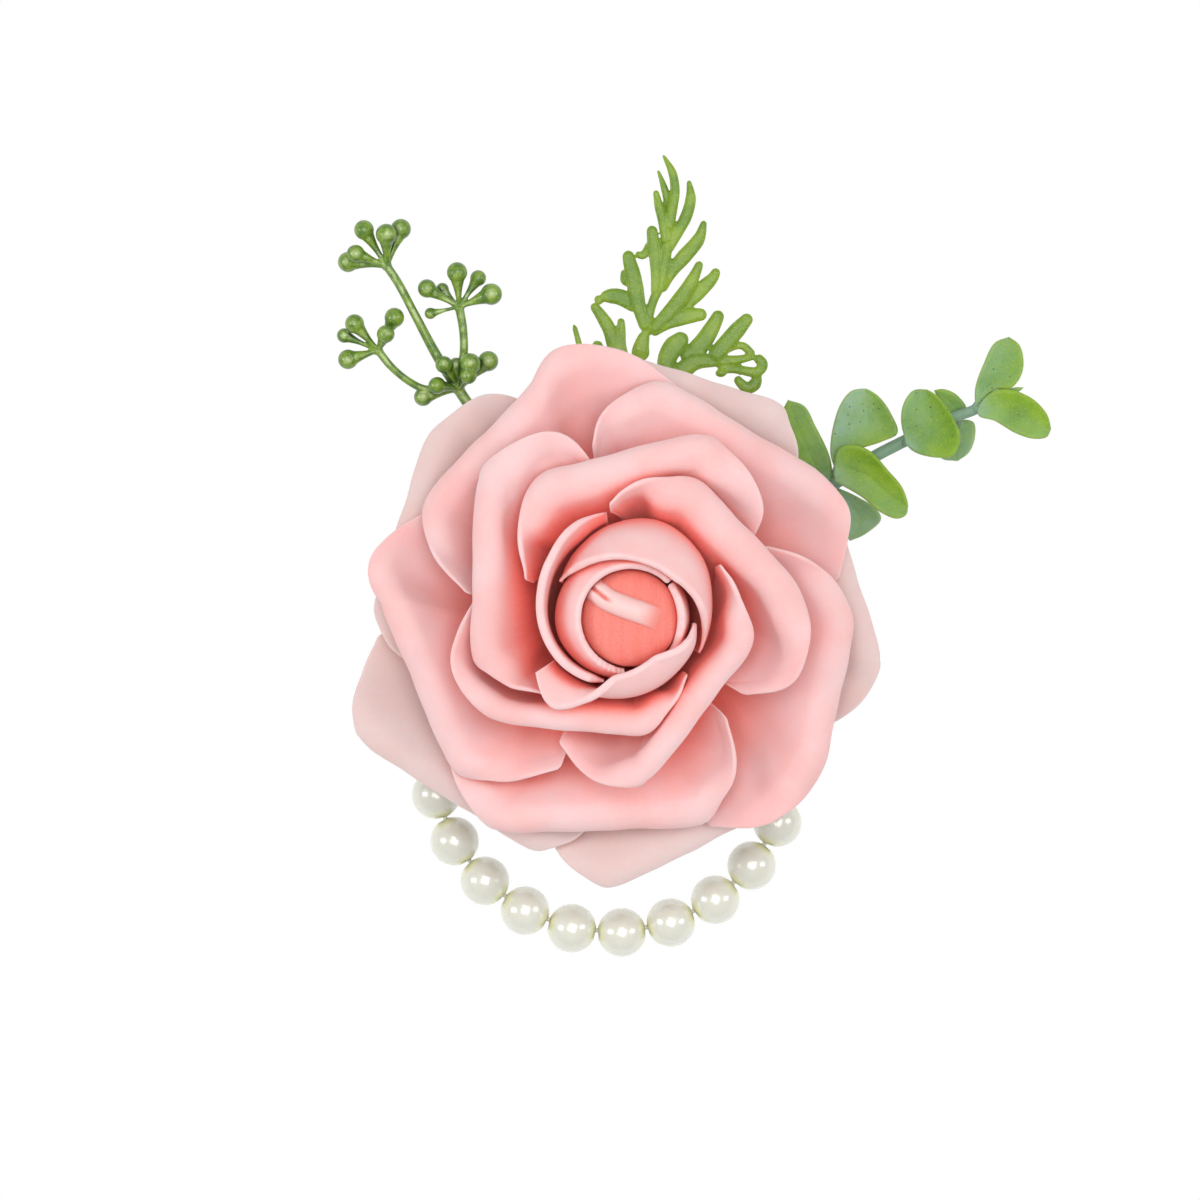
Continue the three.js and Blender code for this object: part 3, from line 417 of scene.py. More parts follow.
def berry_paint():
    paint = Paint("berry green")
    green, deep, lit = (0.2, 0.335, 0.028), (0.085, 0.185, 0.016), (0.42, 0.54, 0.2)
    shaded, speck, crevice_shade = (0.03, 0.085, 0.018), (0.02, 0.06, 0.015), (0.015, 0.055, 0.015)
    blotch = paint.noise(1.5, 4.0, 0.6)
    fine = paint.noise(0.3, 3.0, 0.6)
    patches = paint.span(paint.noise(2.6, 2.0), 0.42, 0.58)
    pale = paint.maths("MULTIPLY", paint.span(paint.lying_flat(), 0.75, 1.0), patches)
    colour = paint.mix(paint.span(blotch, 0.38, 0.62), green, deep)
    colour = paint.mix(paint.maths("MULTIPLY", pale, 0.8), colour, lit)
    colour = paint.mix(paint.span(paint.lying_flat(), 0.0, 0.55, 0.9, 0.0), colour, shaded)
    colour = paint.mix(paint.span(fine, 0.6, 0.7, 0.0, 0.75), colour, speck)
    # Painted shade: dark green in crevices, where the berries and stalks shut each other in.
    colour = paint.mix(paint.span(paint.hollow_shade(1.4), 0.25, 0.85, 0.95, 0.0), colour, crevice_shade)
    paint.set(base_color=colour, roughness=0.3, coat_weight=0.4, coat_roughness=0.14,
              normal=paint.bump(blotch, 0.14, 0.5))
    return paint.material


def fern_paint():
    paint = Paint("fern green")
    green, deep, pebbly = (0.245, 0.385, 0.026), (0.135, 0.265, 0.016), (0.34, 0.45, 0.07)
    flank, crevice_shade = (0.4, 0.52, 0.04), (0.05, 0.14, 0.015)
    pebble = paint.noise(0.42, 3.0, 0.6)
    blotch = paint.noise(4.0, 3.0)
    colour = paint.mix(paint.span(blotch, 0.3, 0.7), green, deep)
    colour = paint.mix(paint.span(pebble, 0.5, 0.75, 0.0, 0.5), colour, pebbly)
    colour = paint.mix(paint.span(paint.lying_flat(), 0.2, 0.85, 0.75, 0.0), colour, flank)
    # Painted shade: dark green in the crevices between the lobes.
    colour = paint.mix(paint.span(paint.hollow_shade(1.2), 0.2, 0.8, 0.7, 0.0), colour, crevice_shade)
    paint.set(base_color=colour, roughness=0.28, specular_ior_level=0.3, coat_weight=0.35,
              coat_roughness=0.06, normal=paint.bump(pebble, 0.3, 0.9))
    return paint.material


def leaf_paint():
    paint = Paint("leaf green")
    green, deep, powdery = (0.215, 0.385, 0.01), (0.12, 0.27, 0.006), (0.28, 0.45, 0.3)
    mottle, rim, speck = (0.42, 0.5, 0.05), (0.42, 0.56, 0.1), (0.03, 0.08, 0.015)
    cloud = paint.noise(5.0, 3.0)
    fine = paint.noise(0.35, 2.0)
    colour = paint.mix(paint.span(cloud, 0.3, 0.7), green, deep)
    bloom = paint.maths("MAXIMUM", paint.layer("bloom"), paint.layer("back_face"))
    bloom = paint.maths("MULTIPLY", bloom, paint.span(paint.noise(2.4, 3.0, 0.6), 0.3, 0.65, 0.65, 1.0))
    colour = paint.mix(bloom, colour, powdery)
    colour = paint.mix(paint.span(fine, 0.48, 0.72, 0.0, 0.3), colour, mottle)
    colour = paint.mix(paint.span(paint.layer("edge"), 0.2, 1.0, 0.0, 0.25), colour, rim)
    dots = paint.maths("MULTIPLY", paint.specks(1.3, 0.05, 0.15), paint.span(cloud, 0.42, 0.55))
    colour = paint.mix(paint.maths("MULTIPLY", dots, 0.9), colour, speck)
    paint.set(base_color=colour, roughness=0.42, specular_ior_level=0.3, subsurface_weight=0.2,
              subsurface_scale=0.001, normal=paint.bump(fine, 0.03, 0.3))
    return paint.material


def plain_paint(name, light, deep, size_mm, rough, depth_mm):
    paint = Paint(name)
    grain = paint.noise(size_mm, 4.0, 0.6)
    paint.set(base_color=paint.mix(grain, light, deep), roughness=rough,
              normal=paint.bump(grain, depth_mm, 0.5))
    return paint.material


pearl_ivory = pearl_paint()
berry_green = berry_paint()
fern_green = fern_paint()
leaf_green = leaf_paint()
# Light and deep colours, size of the grain, roughness and depth of the grain
twig_green = plain_paint("twig bloom", (0.24, 0.37, 0.25), (0.16, 0.29, 0.18), 0.9, 0.55, 0.05)
elastic = plain_paint("clear elastic", (0.9, 0.9, 0.72), (0.84, 0.84, 0.64), 0.8, 0.3, 0.02)
felt_white = plain_paint("white felt", (0.86, 0.84, 0.81), (0.74, 0.72, 0.69), 0.4, 0.95, 0.25)
hot_glue = plain_paint("hot glue", (0.82, 0.78, 0.66), (0.72, 0.67, 0.53), 3.5, 0.3, 0.3)
calyx_green = plain_paint("calyx green", (0.13, 0.29, 0.07), (0.09, 0.22, 0.05), 1.2, 0.5, 0.06)


# Rolled petals: a fan of sections from the hub to the rim, which is straight and rolled under
# along the crest and swings into an open lobe at either end. Rim points are (azimuth, radius).

HUB_RADIUS = 6.8
FOOT_SPREAD = 2.4
FOOT_WIDTH = 0.5
WIDENING = 0.7
PETAL_THICKNESS = 1.0
PETAL_SIDE_SHARE = 0.55
THIN_REACH = 5.0
CUT_WIDTH = 0.18
# Power that gathers the painted warm shade towards a petal's foot
DEPTH_FADE = 1.9
# Height, length and share of the phase of the waves along a rim
RIPPLES = ((0.16, 2.3, 1.0), (0.1, 1.1, 2.3))
RIPPLE_STEP, RIPPLE_OUTWARD = 1.7, 0.5
# Share of a lobe along which its roll opens, and the shares of its turn and length that it loses
OPENING, UNTURNED, SHORTENED = 0.6, 0.85, 0.5
STATION_EASING, OPENING_EASING, EASING_REACH = 3, 2, 3
CW_STATIONS, CREST_STATIONS, CCW_STATIONS = 30, 30, 22
LOBE_STEPS, SECTION_STEPS, BODY_ROWS, ROLL_ROWS = 300, 160, 46, 18

LAYERS = {
    "middle": dict(foot=20.6, lift=2.4, height=39.4, within=12.5, roll=0.165, turn=150, reach=5, droop=6,
                   ccw_lift=-2, rise_shares=(0.55, 0.6, 0.85), ends=(34, 84), ccw_rise=36, phase=6),
    "outer": dict(foot=16.2, lift=1.9, height=30.6, within=19, roll=0.105, turn=130, reach=7, droop=6.2,
                  ccw_lift=0.6, rise_shares=(0.4, 0.4, 0.55), ends=(16, 42), ccw_rise=26, phase=5),
    "under": dict(foot=12.9, lift=1.6, height=23.4, within=24, roll=0.125, turn=60, reach=9, droop=3.5,
                  ccw_lift=0.3, rise_shares=(0.4, 0.4, 0.4), ends=(8, 12), ccw_rise=14, phase=5),
}
# Azimuth and distance of the crest, slopes at foot and crest, the clockwise and the counter-clockwise
# lobe, and a lift of the counter-clockwise end where it is not the layer's
PETALS = {
    "middle": [
        (264, 18.1, 42, 72, [(220, 25.2), (208, 26.9), (197, 27), (188, 26), (172, 22)],
         [(282, 19), (298, 16.4), (311, 14.6), (320, 13.6)]),
        (322.4, 19.2, 36, 76, [(279, 26.4), (269, 26.3), (258, 24.8), (244, 21.3)],
         [(350, 21.6), (365, 19.6), (380, 17.9), (388, 17.4)]),
        (42.7, 23.8, 40, 64, [(10.5, 28.1), (-2, 29.6), (-12, 29.4), (-23, 28.2), (-32, 22)],
         [(60, 24.9), (71, 23.2), (80, 21.7), (90, 18.9), (95, 17.2)], 1.2),
        (104.2, 24.7, 49, 50, [(65, 31.8), (57.5, 31.1), (45.5, 29.6), (36, 27.6), (29, 22.6)],
         [(120, 25.6), (131, 23.3), (140, 20.5), (149, 17.2), (158, 15.4)]),
        (178.2, 22.8, 60, 42, [(135, 31.3), (127, 31.8), (117, 31.3), (106, 29.6), (98, 22)],
         [(195, 23.8), (202, 22.7), (212, 20), (218, 18), (226, 16)]),
    ],
    "outer": [
        (271.8, 33, 26, 28, [(240, 38.8), (232, 37.7), (224, 36.1), (214, 32)],
         [(292, 35.2), (299.5, 32.9), (308.5, 29.3), (317, 21.6)]),
        (347.7, 36.2, 26, 28, [(323.6, 39.6), (313, 40.5), (304, 39.3), (293, 35.2)],
         [(360, 37), (372.5, 32.9), (379, 29.7), (386, 24.9)]),
        (58.6, 35.5, 26, 28, [(43, 36.9), (33, 39.2), (26, 39.7), (20, 38.2), (9.5, 34.4)],
         [(80, 38.2), (90, 34.2), (96, 31), (99, 26.5)]),
        (135.8, 35.1, 26, 28, [(110, 38.9), (103.5, 43.4), (95, 42.7), (87, 41.1), (76, 37)],
         [(148.5, 36), (158, 32.4), (164, 28.9), (171, 23.5)]),
        (202.6, 33.5, 26, 28, [(176, 37.5), (170, 40.1), (163, 39.2), (150, 33.5)],
         [(223, 35.9), (232, 32.3), (239, 29.4), (248.5, 24.6)]),
    ],
    "under": [
        (237.6, 38.7, 14, 12, [(204.6, 45.6), (199, 44.4), (193, 41.9), (184, 37.5)],
         [(250, 39.6), (258, 36), (264, 31)]),
        (296.6, 38.1, 14, 12, [(268, 43.2), (260.5, 40.6), (254.5, 37.7), (250, 34)],
         [(315, 40.2), (325, 37), (333, 32)]),
        (17.2, 37.8, 14, 12, [(-9.5, 42.2), (-15, 41.6), (-26, 37.5), (-32, 33)],
         [(35, 39.7), (46, 36), (54, 31)]),
        (72.7, 40, 14, 12, [(52.6, 42.6), (48, 40.5), (42, 38), (36, 33)],
         [(90, 41.9), (99, 38.5), (107, 33)]),
        (162.5, 37.8, 14, 12, [(137, 41.9), (127, 41.6), (119, 40.3), (110, 34)],
         [(178, 39.2), (188, 36), (196, 31)]),
    ],
}


def eased(values, width):
    """Values of a row of stations, averaged softly with their neighbours."""
    reach = EASING_REACH * width
    weights = bell(np.arange(-reach, reach + 1), width)
    before = 2 * values[0] - values[reach:0:-1]
    after = 2 * values[-1] - values[-2:-reach - 2:-1]
    return np.convolve(np.concatenate([before, values, after]), weights / weights.sum(), "valid")


def thinned(to_side, share):
    """Share of a sheet's thickness that is left towards its side ends."""
    return share + (1 - share) * smoothstep(to_side, THIN_REACH)


def lobe_stations(points, count):
    """Rows of azimuth, radius and share of the way along a lobe, close together at its cut end."""
    fine = catmull(points, np.linspace(0, 1, LOBE_STEPS))
    length = run_along(fine[:, 1:] * heading(np.radians(fine[:, 0])))[-1]
    share = towards_edge(length, count) / length
    return np.vstack([catmull(points, share).T, share])


def rolled_petal(name, layer, petal, phase):
    crest_azimuth, crest, foot_slope, crest_slope, cw_points, ccw_points, *own_lift = petal
    ccw_lift = own_lift[0] if own_lift else layer["ccw_lift"]
    cw = lobe_stations(cw_points, CW_STATIONS)[:, ::-1]
    ccw = lobe_stations(ccw_points, CCW_STATIONS)
    straight = np.linspace(cw_points[0][0], ccw_points[0][0], CREST_STATIONS)
    crest_radius = crest / np.cos(np.radians(straight - crest_azimuth))
    azimuth, radius, lobe = np.hstack([cw, [straight, crest_radius, 0 * straight], ccw])
    radius = eased(radius, STATION_EASING)
    to_cw = lobe * (azimuth < straight[0])
    to_ccw = lobe * (azimuth > straight[-1])
    share = (azimuth - azimuth[0]) / (azimuth[-1] - azimuth[0])
    girth = np.radians(azimuth) * crest

    def along_rim(cw, middle, ccw):
        return eased(middle + (cw - middle) * to_cw + (ccw - middle) * to_ccw, STATION_EASING)

    half = PETAL_THICKNESS / 2
    rise = np.radians(along_rim(foot_slope, foot_slope, layer["ccw_rise"]))
    level = np.radians(along_rim(layer["ends"][0], crest_slope, layer["ends"][1]))
    opened = eased(smoothstep(lobe, OPENING), OPENING_EASING)
    full_turn = math.radians(layer["turn"])
    turn = full_turn * (1 - UNTURNED * opened)
    rolled_length = layer["roll"] * (crest - HUB_RADIUS) * full_turn * (1 - SHORTENED * opened)
    bend = rolled_length / turn
    overhang = bend * (np.sin(level) - np.sin(np.maximum(level - turn, -math.pi / 2))) + half * (1 - opened)
    foot = np.stack([HUB_RADIUS + CLEARANCE + half * np.sin(rise) + FOOT_SPREAD * (1 - share),
                     layer["foot"] + layer["lift"] * share], axis=1)
    ripple = waves(girth, [(height, length, shift * phase) for height, length, shift in RIPPLES])
    drop = eased(layer["droop"] * to_cw - ccw_lift * to_ccw, STATION_EASING)
    top = np.stack([radius - overhang + RIPPLE_OUTWARD * ripple, layer["height"] - drop + ripple], axis=1)
    rise_reach = along_rim(*layer["rise_shares"]) * (top[:, 0] - foot[:, 0]) / np.cos(rise)
    near = foot + rise_reach[:, None] * heading(rise)
    far = top - layer["reach"] * heading(level)
    t = np.linspace(0, 1, SECTION_STEPS)[:, None, None]
    body = (1 - t) ** 3 * foot + 3 * t * (1 - t) ** 2 * near + 3 * t ** 2 * (1 - t) * far + t ** 3 * top
    run = run_along(body)

    columns = []
    for column in range(len(share)):
        steps = run[-1, column] * np.linspace(0, 1, BODY_ROWS)
        out, z = (np.interp(steps, run[:, column], body[:, column, axis]) for axis in range(2))
        over = towards_edge(rolled_length[column], ROLL_ROWS)
        start, curl = level[column], bend[column]
        angle = start - over / curl
        out = np.append(out, top[column, 0] + curl * (math.sin(start) - np.sin(angle)))
        z = np.append(z, top[column, 1] + curl * (np.cos(angle) - math.cos(start)))
        columns.append(np.stack([out, z, np.append(steps, steps[-1] + over)], axis=1))
    out, z, along = np.moveaxis(np.stack(columns, axis=1), -1, 0)
    width = FOOT_WIDTH + (1 - FOOT_WIDTH) * np.minimum(along / run[-1], 1) ** WIDENING
    turned = np.radians(crest_azimuth + (azimuth - crest_azimuth) * width)
    grid = np.stack([out * np.cos(turned) + ROSE_X, out * np.sin(turned), z], axis=-1)

    to_end = along[-1] - along
    to_side = out * np.minimum(turned - turned[:, :1], turned[:, -1:] - turned)
    thick = half * roundness(to_side) * roundness(to_end) * roundness(along)
    # The depth layer carries painted warm shade: none at the rim, full at the layer's within radius.
    layers = {"edge": bell(np.minimum(to_end, to_side), CUT_WIDTH), "along": along,
              "across": girth + 0 * out,
              "depth": smoothstep(radius - out, radius - layer["within"]) ** DEPTH_FADE}
    return closed_sheet(name, grid, thick * thinned(to_side, PETAL_SIDE_SHARE), layers)


for layer_name, petals in PETALS.items():
    layer = LAYERS[layer_name]
    for number, petal in enumerate(petals):
        node = f"{layer_name}_petal_{number + 1}"
        piece = rolled_petal(f"rolled_{node}", layer, petal, RIPPLE_STEP * number + layer["phase"])
        if layer_name == "under":
            dress(piece, "flower", "foam_pale", foam_pale, node)
        else:
            dress(piece, "flower", "foam_pink", foam_pink, node)


# Bud wraps: belly height, fullness below it, and stations of azimuth, belly radius, rim radius and rim
# height, counter-clockwise

BUD_X = 1.5
WRAP_THICKNESS = 1.3
WRAP_MEAN_RADIUS = 11
WRAP_CUT_WIDTH = 0.35
WRAP_COLUMNS, WRAP_ROWS, WRAP_STEPS = 110, 48, 300
SHOULDER, SHOULDER_RISE = 2.6, 0.6
RAGGED = ((0.07, 0.37, 0.0), (0.06, 0.83, 1.3))
RAGGED_REACH = 2.0
# Mouth height, below which the wraps take painted warm shade, and the depth over which it grows full
MOUTH_HEIGHT, MOUTH_DEPTH = 45.0, 8.0
# Radius of the foot, its spread, its height, the shift of the axis, and the thickness left at the sides
WRAP_FEET = {"bud": (7.88, 2.4, 26.9, 0.0, 0.4), "inner": (5.68, 0, 29.48, BUD_X, 1.0)}
WRAPS = {
    "bud_wrap_1": (37.5, 0.5, [
        (-24, 13.3, 13.5, 38.5), (8, 13.7, 12.4, 44.6), (38, 15.2, 10, 47.2), (66, 15.5, 9.2, 47.6),
        (96, 13.7, 9.2, 47.4), (124, 11.6, 9.8, 46), (149, 10.4, 10.8, 42.6)]),
    "bud_wrap_2": (35, 0.5, [
        (97, 14.8, 16.4, 39), (117, 13.4, 15.7, 44.5), (138, 12.7, 14, 46.6), (162, 11.9, 12.7, 47.4),
        (191, 11.2, 11.7, 47.4), (222, 10.4, 10.9, 46.6), (244, 10, 10.3, 45), (256, 9.8, 10, 43.2)]),
    "bud_wrap_3": (41, 0.78, [
        (213, 12.6, 15.4, 43.6), (232, 12.4, 17.2, 45.1), (248, 12, 13.6, 45.8), (266, 11.8, 8.9, 46.9),
        (308, 11.5, 7.9, 47), (338, 11.7, 10.6, 46), (356, 11.6, 11.2, 42.6)]),
    "inner_wrap_1": (40, 0.5, [
        (42, 9.6, 7.9, 44.2), (90, 10.2, 7.7, 45.6), (180, 10.8, 7.6, 45.8), (222, 9.8, 7.8, 45.2),
        (246, 9.1, 8, 44.1), (265, 8.8, 8.2, 43.1)]),
    "inner_wrap_2": (38, 0.5, [
        (-80, 8.5, 8.4, 40.4), (-50, 8.5, 8.4, 41.6), (-12, 8.5, 7.9, 44.6), (14, 8.6, 7.8, 45.2),
        (40, 8.6, 8, 44)]),
}


def wrap_sheet(name, node):
    belly_z, fullness, stations = WRAPS[node]
    foot, spread, low, centre_x, side_share = WRAP_FEET[node.split("_")[0]]
    stations = np.array(stations, float)
    girth = math.radians(stations[-1, 0] - stations[0, 0]) * WRAP_MEAN_RADIUS
    across = edge_offsets(girth, WRAP_COLUMNS)
    share = across / girth
    belly, rim, rim_z = catmull(stations[:, 1:], share).T
    azimuth = np.radians(catmull(stations[:, :1], share)[:, 0])
    base = foot + spread * (1 - share)
    shoulder = (SHOULDER * belly + rim) / (SHOULDER + 1)
    columns = []
    for column in range(len(share)):
        section = [
            (base[column], low),
            (base[column] + fullness * (belly[column] - base[column]), (low + belly_z) / 2),
            (belly[column], belly_z),
            (shoulder[column], (belly_z + rim_z[column]) / 2 + SHOULDER_RISE),
            (rim[column], rim_z[column]),
        ]
        line, length = even_curve(section, WRAP_STEPS)
        run = np.linspace(0, length, WRAP_STEPS)
        along = edge_offsets(length, WRAP_ROWS)
        out, z = (np.interp(along, run, line[:, axis]) for axis in range(2))
        columns.append(np.stack([out, z, along, length - along], axis=1))
    out, z, along, to_end = np.moveaxis(np.stack(columns, axis=1), -1, 0)
    lift = waves(across, RAGGED) * np.clip(1 - to_end / RAGGED_REACH, 0, 1)
    grid = np.stack([out * np.cos(azimuth) + ROSE_X + centre_x, out * np.sin(azimuth), z + lift], axis=-1)
    to_side = np.minimum(across, girth - across)[None] + 0 * lift
    thick = WRAP_THICKNESS / 2 * roundness(to_side) * roundness(to_end) * roundness(along)
    # The depth layer carries painted warm shade, growing below the mouth of the bud.
    layers = {"edge": bell(np.minimum(to_end, to_side), WRAP_CUT_WIDTH), "along": along,
              "across": across[None] + 0 * lift, "depth": smoothstep(MOUTH_HEIGHT - z, MOUTH_DEPTH)}
    return closed_sheet(name, grid, thick * thinned(to_side, side_share), layers)


for node in WRAPS:
    dress(wrap_sheet(f"curled_{node}", node), "flower", "foam_pink", foam_pink, node)


# Bud core with its pinched fold

BUD_PROFILE = [(NEAR_AXIS, 29), (3.0, 29), (4.6, 29.05), (5.0, 31.5), (6.6, 35), (7.4, 38), (7.45, 42.2),
               (7.35, 43.1), (6.9, 43.7), (6.0, 44.3), (4.5, 44.85), (3.0, 45.2), (1.3, 45.42),
               (NEAR_AXIS, 45.45)]
BUD_RINGS, BUD_SIDES = 120, 160
# Middle line of the pinched fold, from its open lips to where it fades out
FOLD = [(-6.2, 4.9), (-4.8, 3.9), (-3.5, 2.9), (-0.8, 1.7), (1.8, 0.8), (3.8, 0.0), (4.8, -0.4)]
FOLD_STEPS = 160
FOLD_HALF_WIDTH, FOLD_HEIGHT, FOLD_FULLNESS, FOLD_FADE = 1.8, 1.7, 0.6, 0.3
FOLD_FROM, FOLD_FULL = 38, 41
GROOVE_WIDTH, GROOVE_DEPTH, GROOVE_END, GROOVE_FADE = 0.3, 1.3, 0.36, 0.1
PALE_GAIN, PALE_LOSS, PALE_SHALLOWS = 2.0, 0.8, 0.9


def bud():
    profile, _ = even_curve(BUD_PROFILE, BUD_RINGS)
    flat = lathe(profile, BUD_SIDES).reshape(-1, 3)
    line, _ = even_curve(FOLD, FOLD_STEPS)
    away = np.linalg.norm(flat[:, None, :2] - line[None], axis=2)
    distance = away.min(axis=1)
    share = away.argmin(axis=1) / (FOLD_STEPS - 1)
    top = np.clip((flat[:, 2] - FOLD_FROM) / (FOLD_FULL - FOLD_FROM), 0, 1)
    fade = np.clip((1 - share) / FOLD_FADE, 0, 1) * top
    ridge = np.clip(1 - (distance / FOLD_HALF_WIDTH) ** 2, 0, 1) ** FOLD_FULLNESS
    groove = bell(distance, GROOVE_WIDTH) * np.clip((GROOVE_END - share) / GROOVE_FADE, 0, 1)
    flat[:, 2] += (FOLD_HEIGHT * ridge - GROOVE_DEPTH * groove) * fade
    pale = np.clip(PALE_GAIN * ridge, 0, 1) * fade * (1 - PALE_LOSS * groove)
    points = flat + [ROSE_X + BUD_X, 0, 0]
    # The dome takes the painted warm shade all over, except on the pale ridge of its fold.
    layers = {"edge": pale, "along": flat[:, 2], "across": flat[:, 0], "depth": 1 - PALE_SHALLOWS * pale}
    return mesh_object("pinched_bud", points, ring_faces(BUD_RINGS, BUD_SIDES), layers)


dress(bud(), "flower", "foam_salmon", foam_salmon, "bud_core")


# Bracelet

PEARL_COUNT = 17
PEARL_RADIUS = 3.9
BORE_RADIUS = 1.05
PEARL_RINGS, PEARL_SIDES = 40, 56
CORD_RADIUS = 0.35
CORD_EXIT = np.array([14.68, 3.1, 3.9])
PEARLS = [f"pearl_{number:02d}" for number in range(1, PEARL_COUNT + 1)]


def node_centre(node):
    low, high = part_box(node)
    return np.array((low + high) / 2) / MM


def circle_centre(points):
    """Middle of the level circle that lies closest to the points."""
    system = np.column_stack([2 * points[:, 0], 2 * points[:, 1], np.ones(len(points))])
    x, y, _ = np.linalg.lstsq(system, (points[:, :2] ** 2).sum(axis=1), rcond=None)[0]
    return np.array([x, y, PEARL_RADIUS])


centres = {node: node_centre(node) for node in PEARLS}
loop_centre = circle_centre(np.array(list(centres.values())))


def pearl(name, centre):
    bore = math.asin(BORE_RADIUS / PEARL_RADIUS)
    angles = np.linspace(bore, math.pi - bore, PEARL_RINGS)
    profile = [(PEARL_RADIUS * math.sin(a), -PEARL_RADIUS * math.cos(a)) for a in angles]
    rings = lathe(profile, PEARL_SIDES)
    pole = np.abs(rings[..., 2]) / PEARL_RADIUS
    radial = unit(centre - loop_centre)
    tangent = np.cross([0, 0, 1.0], radial)
    basis = np.array([radial, np.cross(tangent, radial), tangent])
    points = rings.reshape(-1, 3) @ basis + centre
    faces = ring_faces(PEARL_RINGS, PEARL_SIDES, closed=True)
    return mesh_object(name, points, faces, {"pole": pole.reshape(-1)})


def cord_piece(name, points):
    return tube_piece(name, points, [CORD_RADIUS, CORD_RADIUS], sides=10, count=18)


for number, node in enumerate(PEARLS):
    dress(pearl(f"lacquered_{node}", centres[node]), f"{node}_body", "pearl", pearl_ivory, node)
    if number + 1 < len(PEARLS):
        cord = cord_piece(f"elastic_after_{node}", [centres[node], centres[PEARLS[number + 1]]])
        dress(cord, f"{node}_body", "elastic", elastic)

for node, side in ((PEARLS[0], -1), (PEARLS[-1], 1)):
    exit_point = CORD_EXIT * [side, 1, 1]
    cord = cord_piece(f"elastic_from_pad_to_{node}", [exit_point, centres[node]])
    cord.data.materials.append(elastic)
    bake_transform(cord)
    if side < 0:
        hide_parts("elastic_cord")


# Pad: felt back, glue and felt cover

FELT_RADIUS, FELT_HOLE, FELT_CORNER, FELT_FRAY = 16, 8.0, 0.3, 0.08
GLUE_RADIUS, GLUE_CORNER, GLUE_FRAY = 15, 1.6, 0.12
# Heights of the lower and the upper face
BACK_HEIGHTS, GLUE_HEIGHTS, COVER_HEIGHTS = (0, 1.5), (1.8, 7.6), (7.9, 9.1)
# Height, length in radians and shift of the waves in a frayed edge
FRAY_WAVES = ((1, 1 / 17, 0), (0.7, 1 / 41, 1), (0.5, 1 / 73, 2))
CORNER_STEPS, DISC_SIDES = 5, 120
TRAPPED_BEND = [(-7.6, 6.1, 3.9), (0, 7.1, 3.9), (7.6, 6.1, 3.9)]


def rounded_disc(name, radius, heights, corner, fray, hole=0.0):
    bottom, top = heights
    turn = np.linspace(0, math.pi / 2, CORNER_STEPS)
    inner = max(hole, NEAR_AXIS)
    straight = radius - corner
    profile = [(inner, bottom)]
    profile += [(straight + corner * math.sin(a), bottom + corner - corner * math.cos(a)) for a in turn]
    profile += [(straight + corner * math.cos(a), top - corner + corner * math.sin(a)) for a in turn]
    profile += [(inner, top)]
    rings = lathe(profile, DISC_SIDES)
    angle = np.arctan2(rings[..., 1], rings[..., 0])
    wobble = fray * waves(angle, FRAY_WAVES)
    factor = 1 - np.abs(wobble) / radius * (rings[..., :2] ** 2).sum(axis=-1) / radius ** 2
    rings[..., :2] *= factor[..., None]
    return mesh_object(name, rings.reshape(-1, 3), ring_faces(len(profile), DISC_SIDES, closed=hole > 0))


back = rounded_disc("felt_back", FELT_RADIUS, BACK_HEIGHTS, FELT_CORNER, FELT_FRAY)
cover = rounded_disc("felt_cover", FELT_RADIUS, COVER_HEIGHTS, FELT_CORNER, FELT_FRAY, FELT_HOLE)
glue = rounded_disc("glue_pad", GLUE_RADIUS, GLUE_HEIGHTS, GLUE_CORNER, GLUE_FRAY)
dress(back, "flower", "felt", felt_white, "felt_back")
dress(cover, "flower", "felt", felt_white, "felt_cover")
dress(glue, "flower", "hot_glue", hot_glue, "glue_pad")
trapped = cord_piece("elastic_in_the_glue", [CORD_EXIT * [-1, 1, 1], *TRAPPED_BEND, CORD_EXIT])
dress(trapped, "flower", "elastic", elastic, "trapped_elastic")
for node in ("calyx", "receptacle", "rose_stem_stub"):
    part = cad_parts[node]
    part.data.materials.clear()
    part.data.materials.append(calyx_green)


# Berry spray: stems with their radii, and clusters of stalked berries (x, y, radius, height)

SPRAY_CROWN = (-24.6, 36.6, 7.5)
TOP_HUB = (-35.7, 55.8, 10)
RIGHT_HUB = (-24.2, 49.3, 10)
LEFT_HUB = (-37.1, 42.4, 9.5)
LOW_HUB = (-24.2, 36.4, 8)
SPRAY_STEMS = [
    ([(-8.6, 12.7, 6), (-16.5, 24.5, 6.5), SPRAY_CROWN], [0.95, 0.9]),
    ([SPRAY_CROWN, (-27.9, 41.8, 9), (-31.3, 48.2, 9.8), (-33.9, 53.1, 10), TOP_HUB],
     [0.95, 0.8, 0.7, 0.72]),
    ([SPRAY_CROWN, (-23.5, 42, 9), (-23.6, 45.8, 9.6), RIGHT_HUB], [0.9, 0.7, 0.68, 0.74]),
    ([SPRAY_CROWN, (-29.6, 36.3, 8.2), (-32.2, 37.5, 8.8), (-35, 39.8, 9.3), LEFT_HUB],
     [0.9, 0.65, 0.6, 0.68]),
]
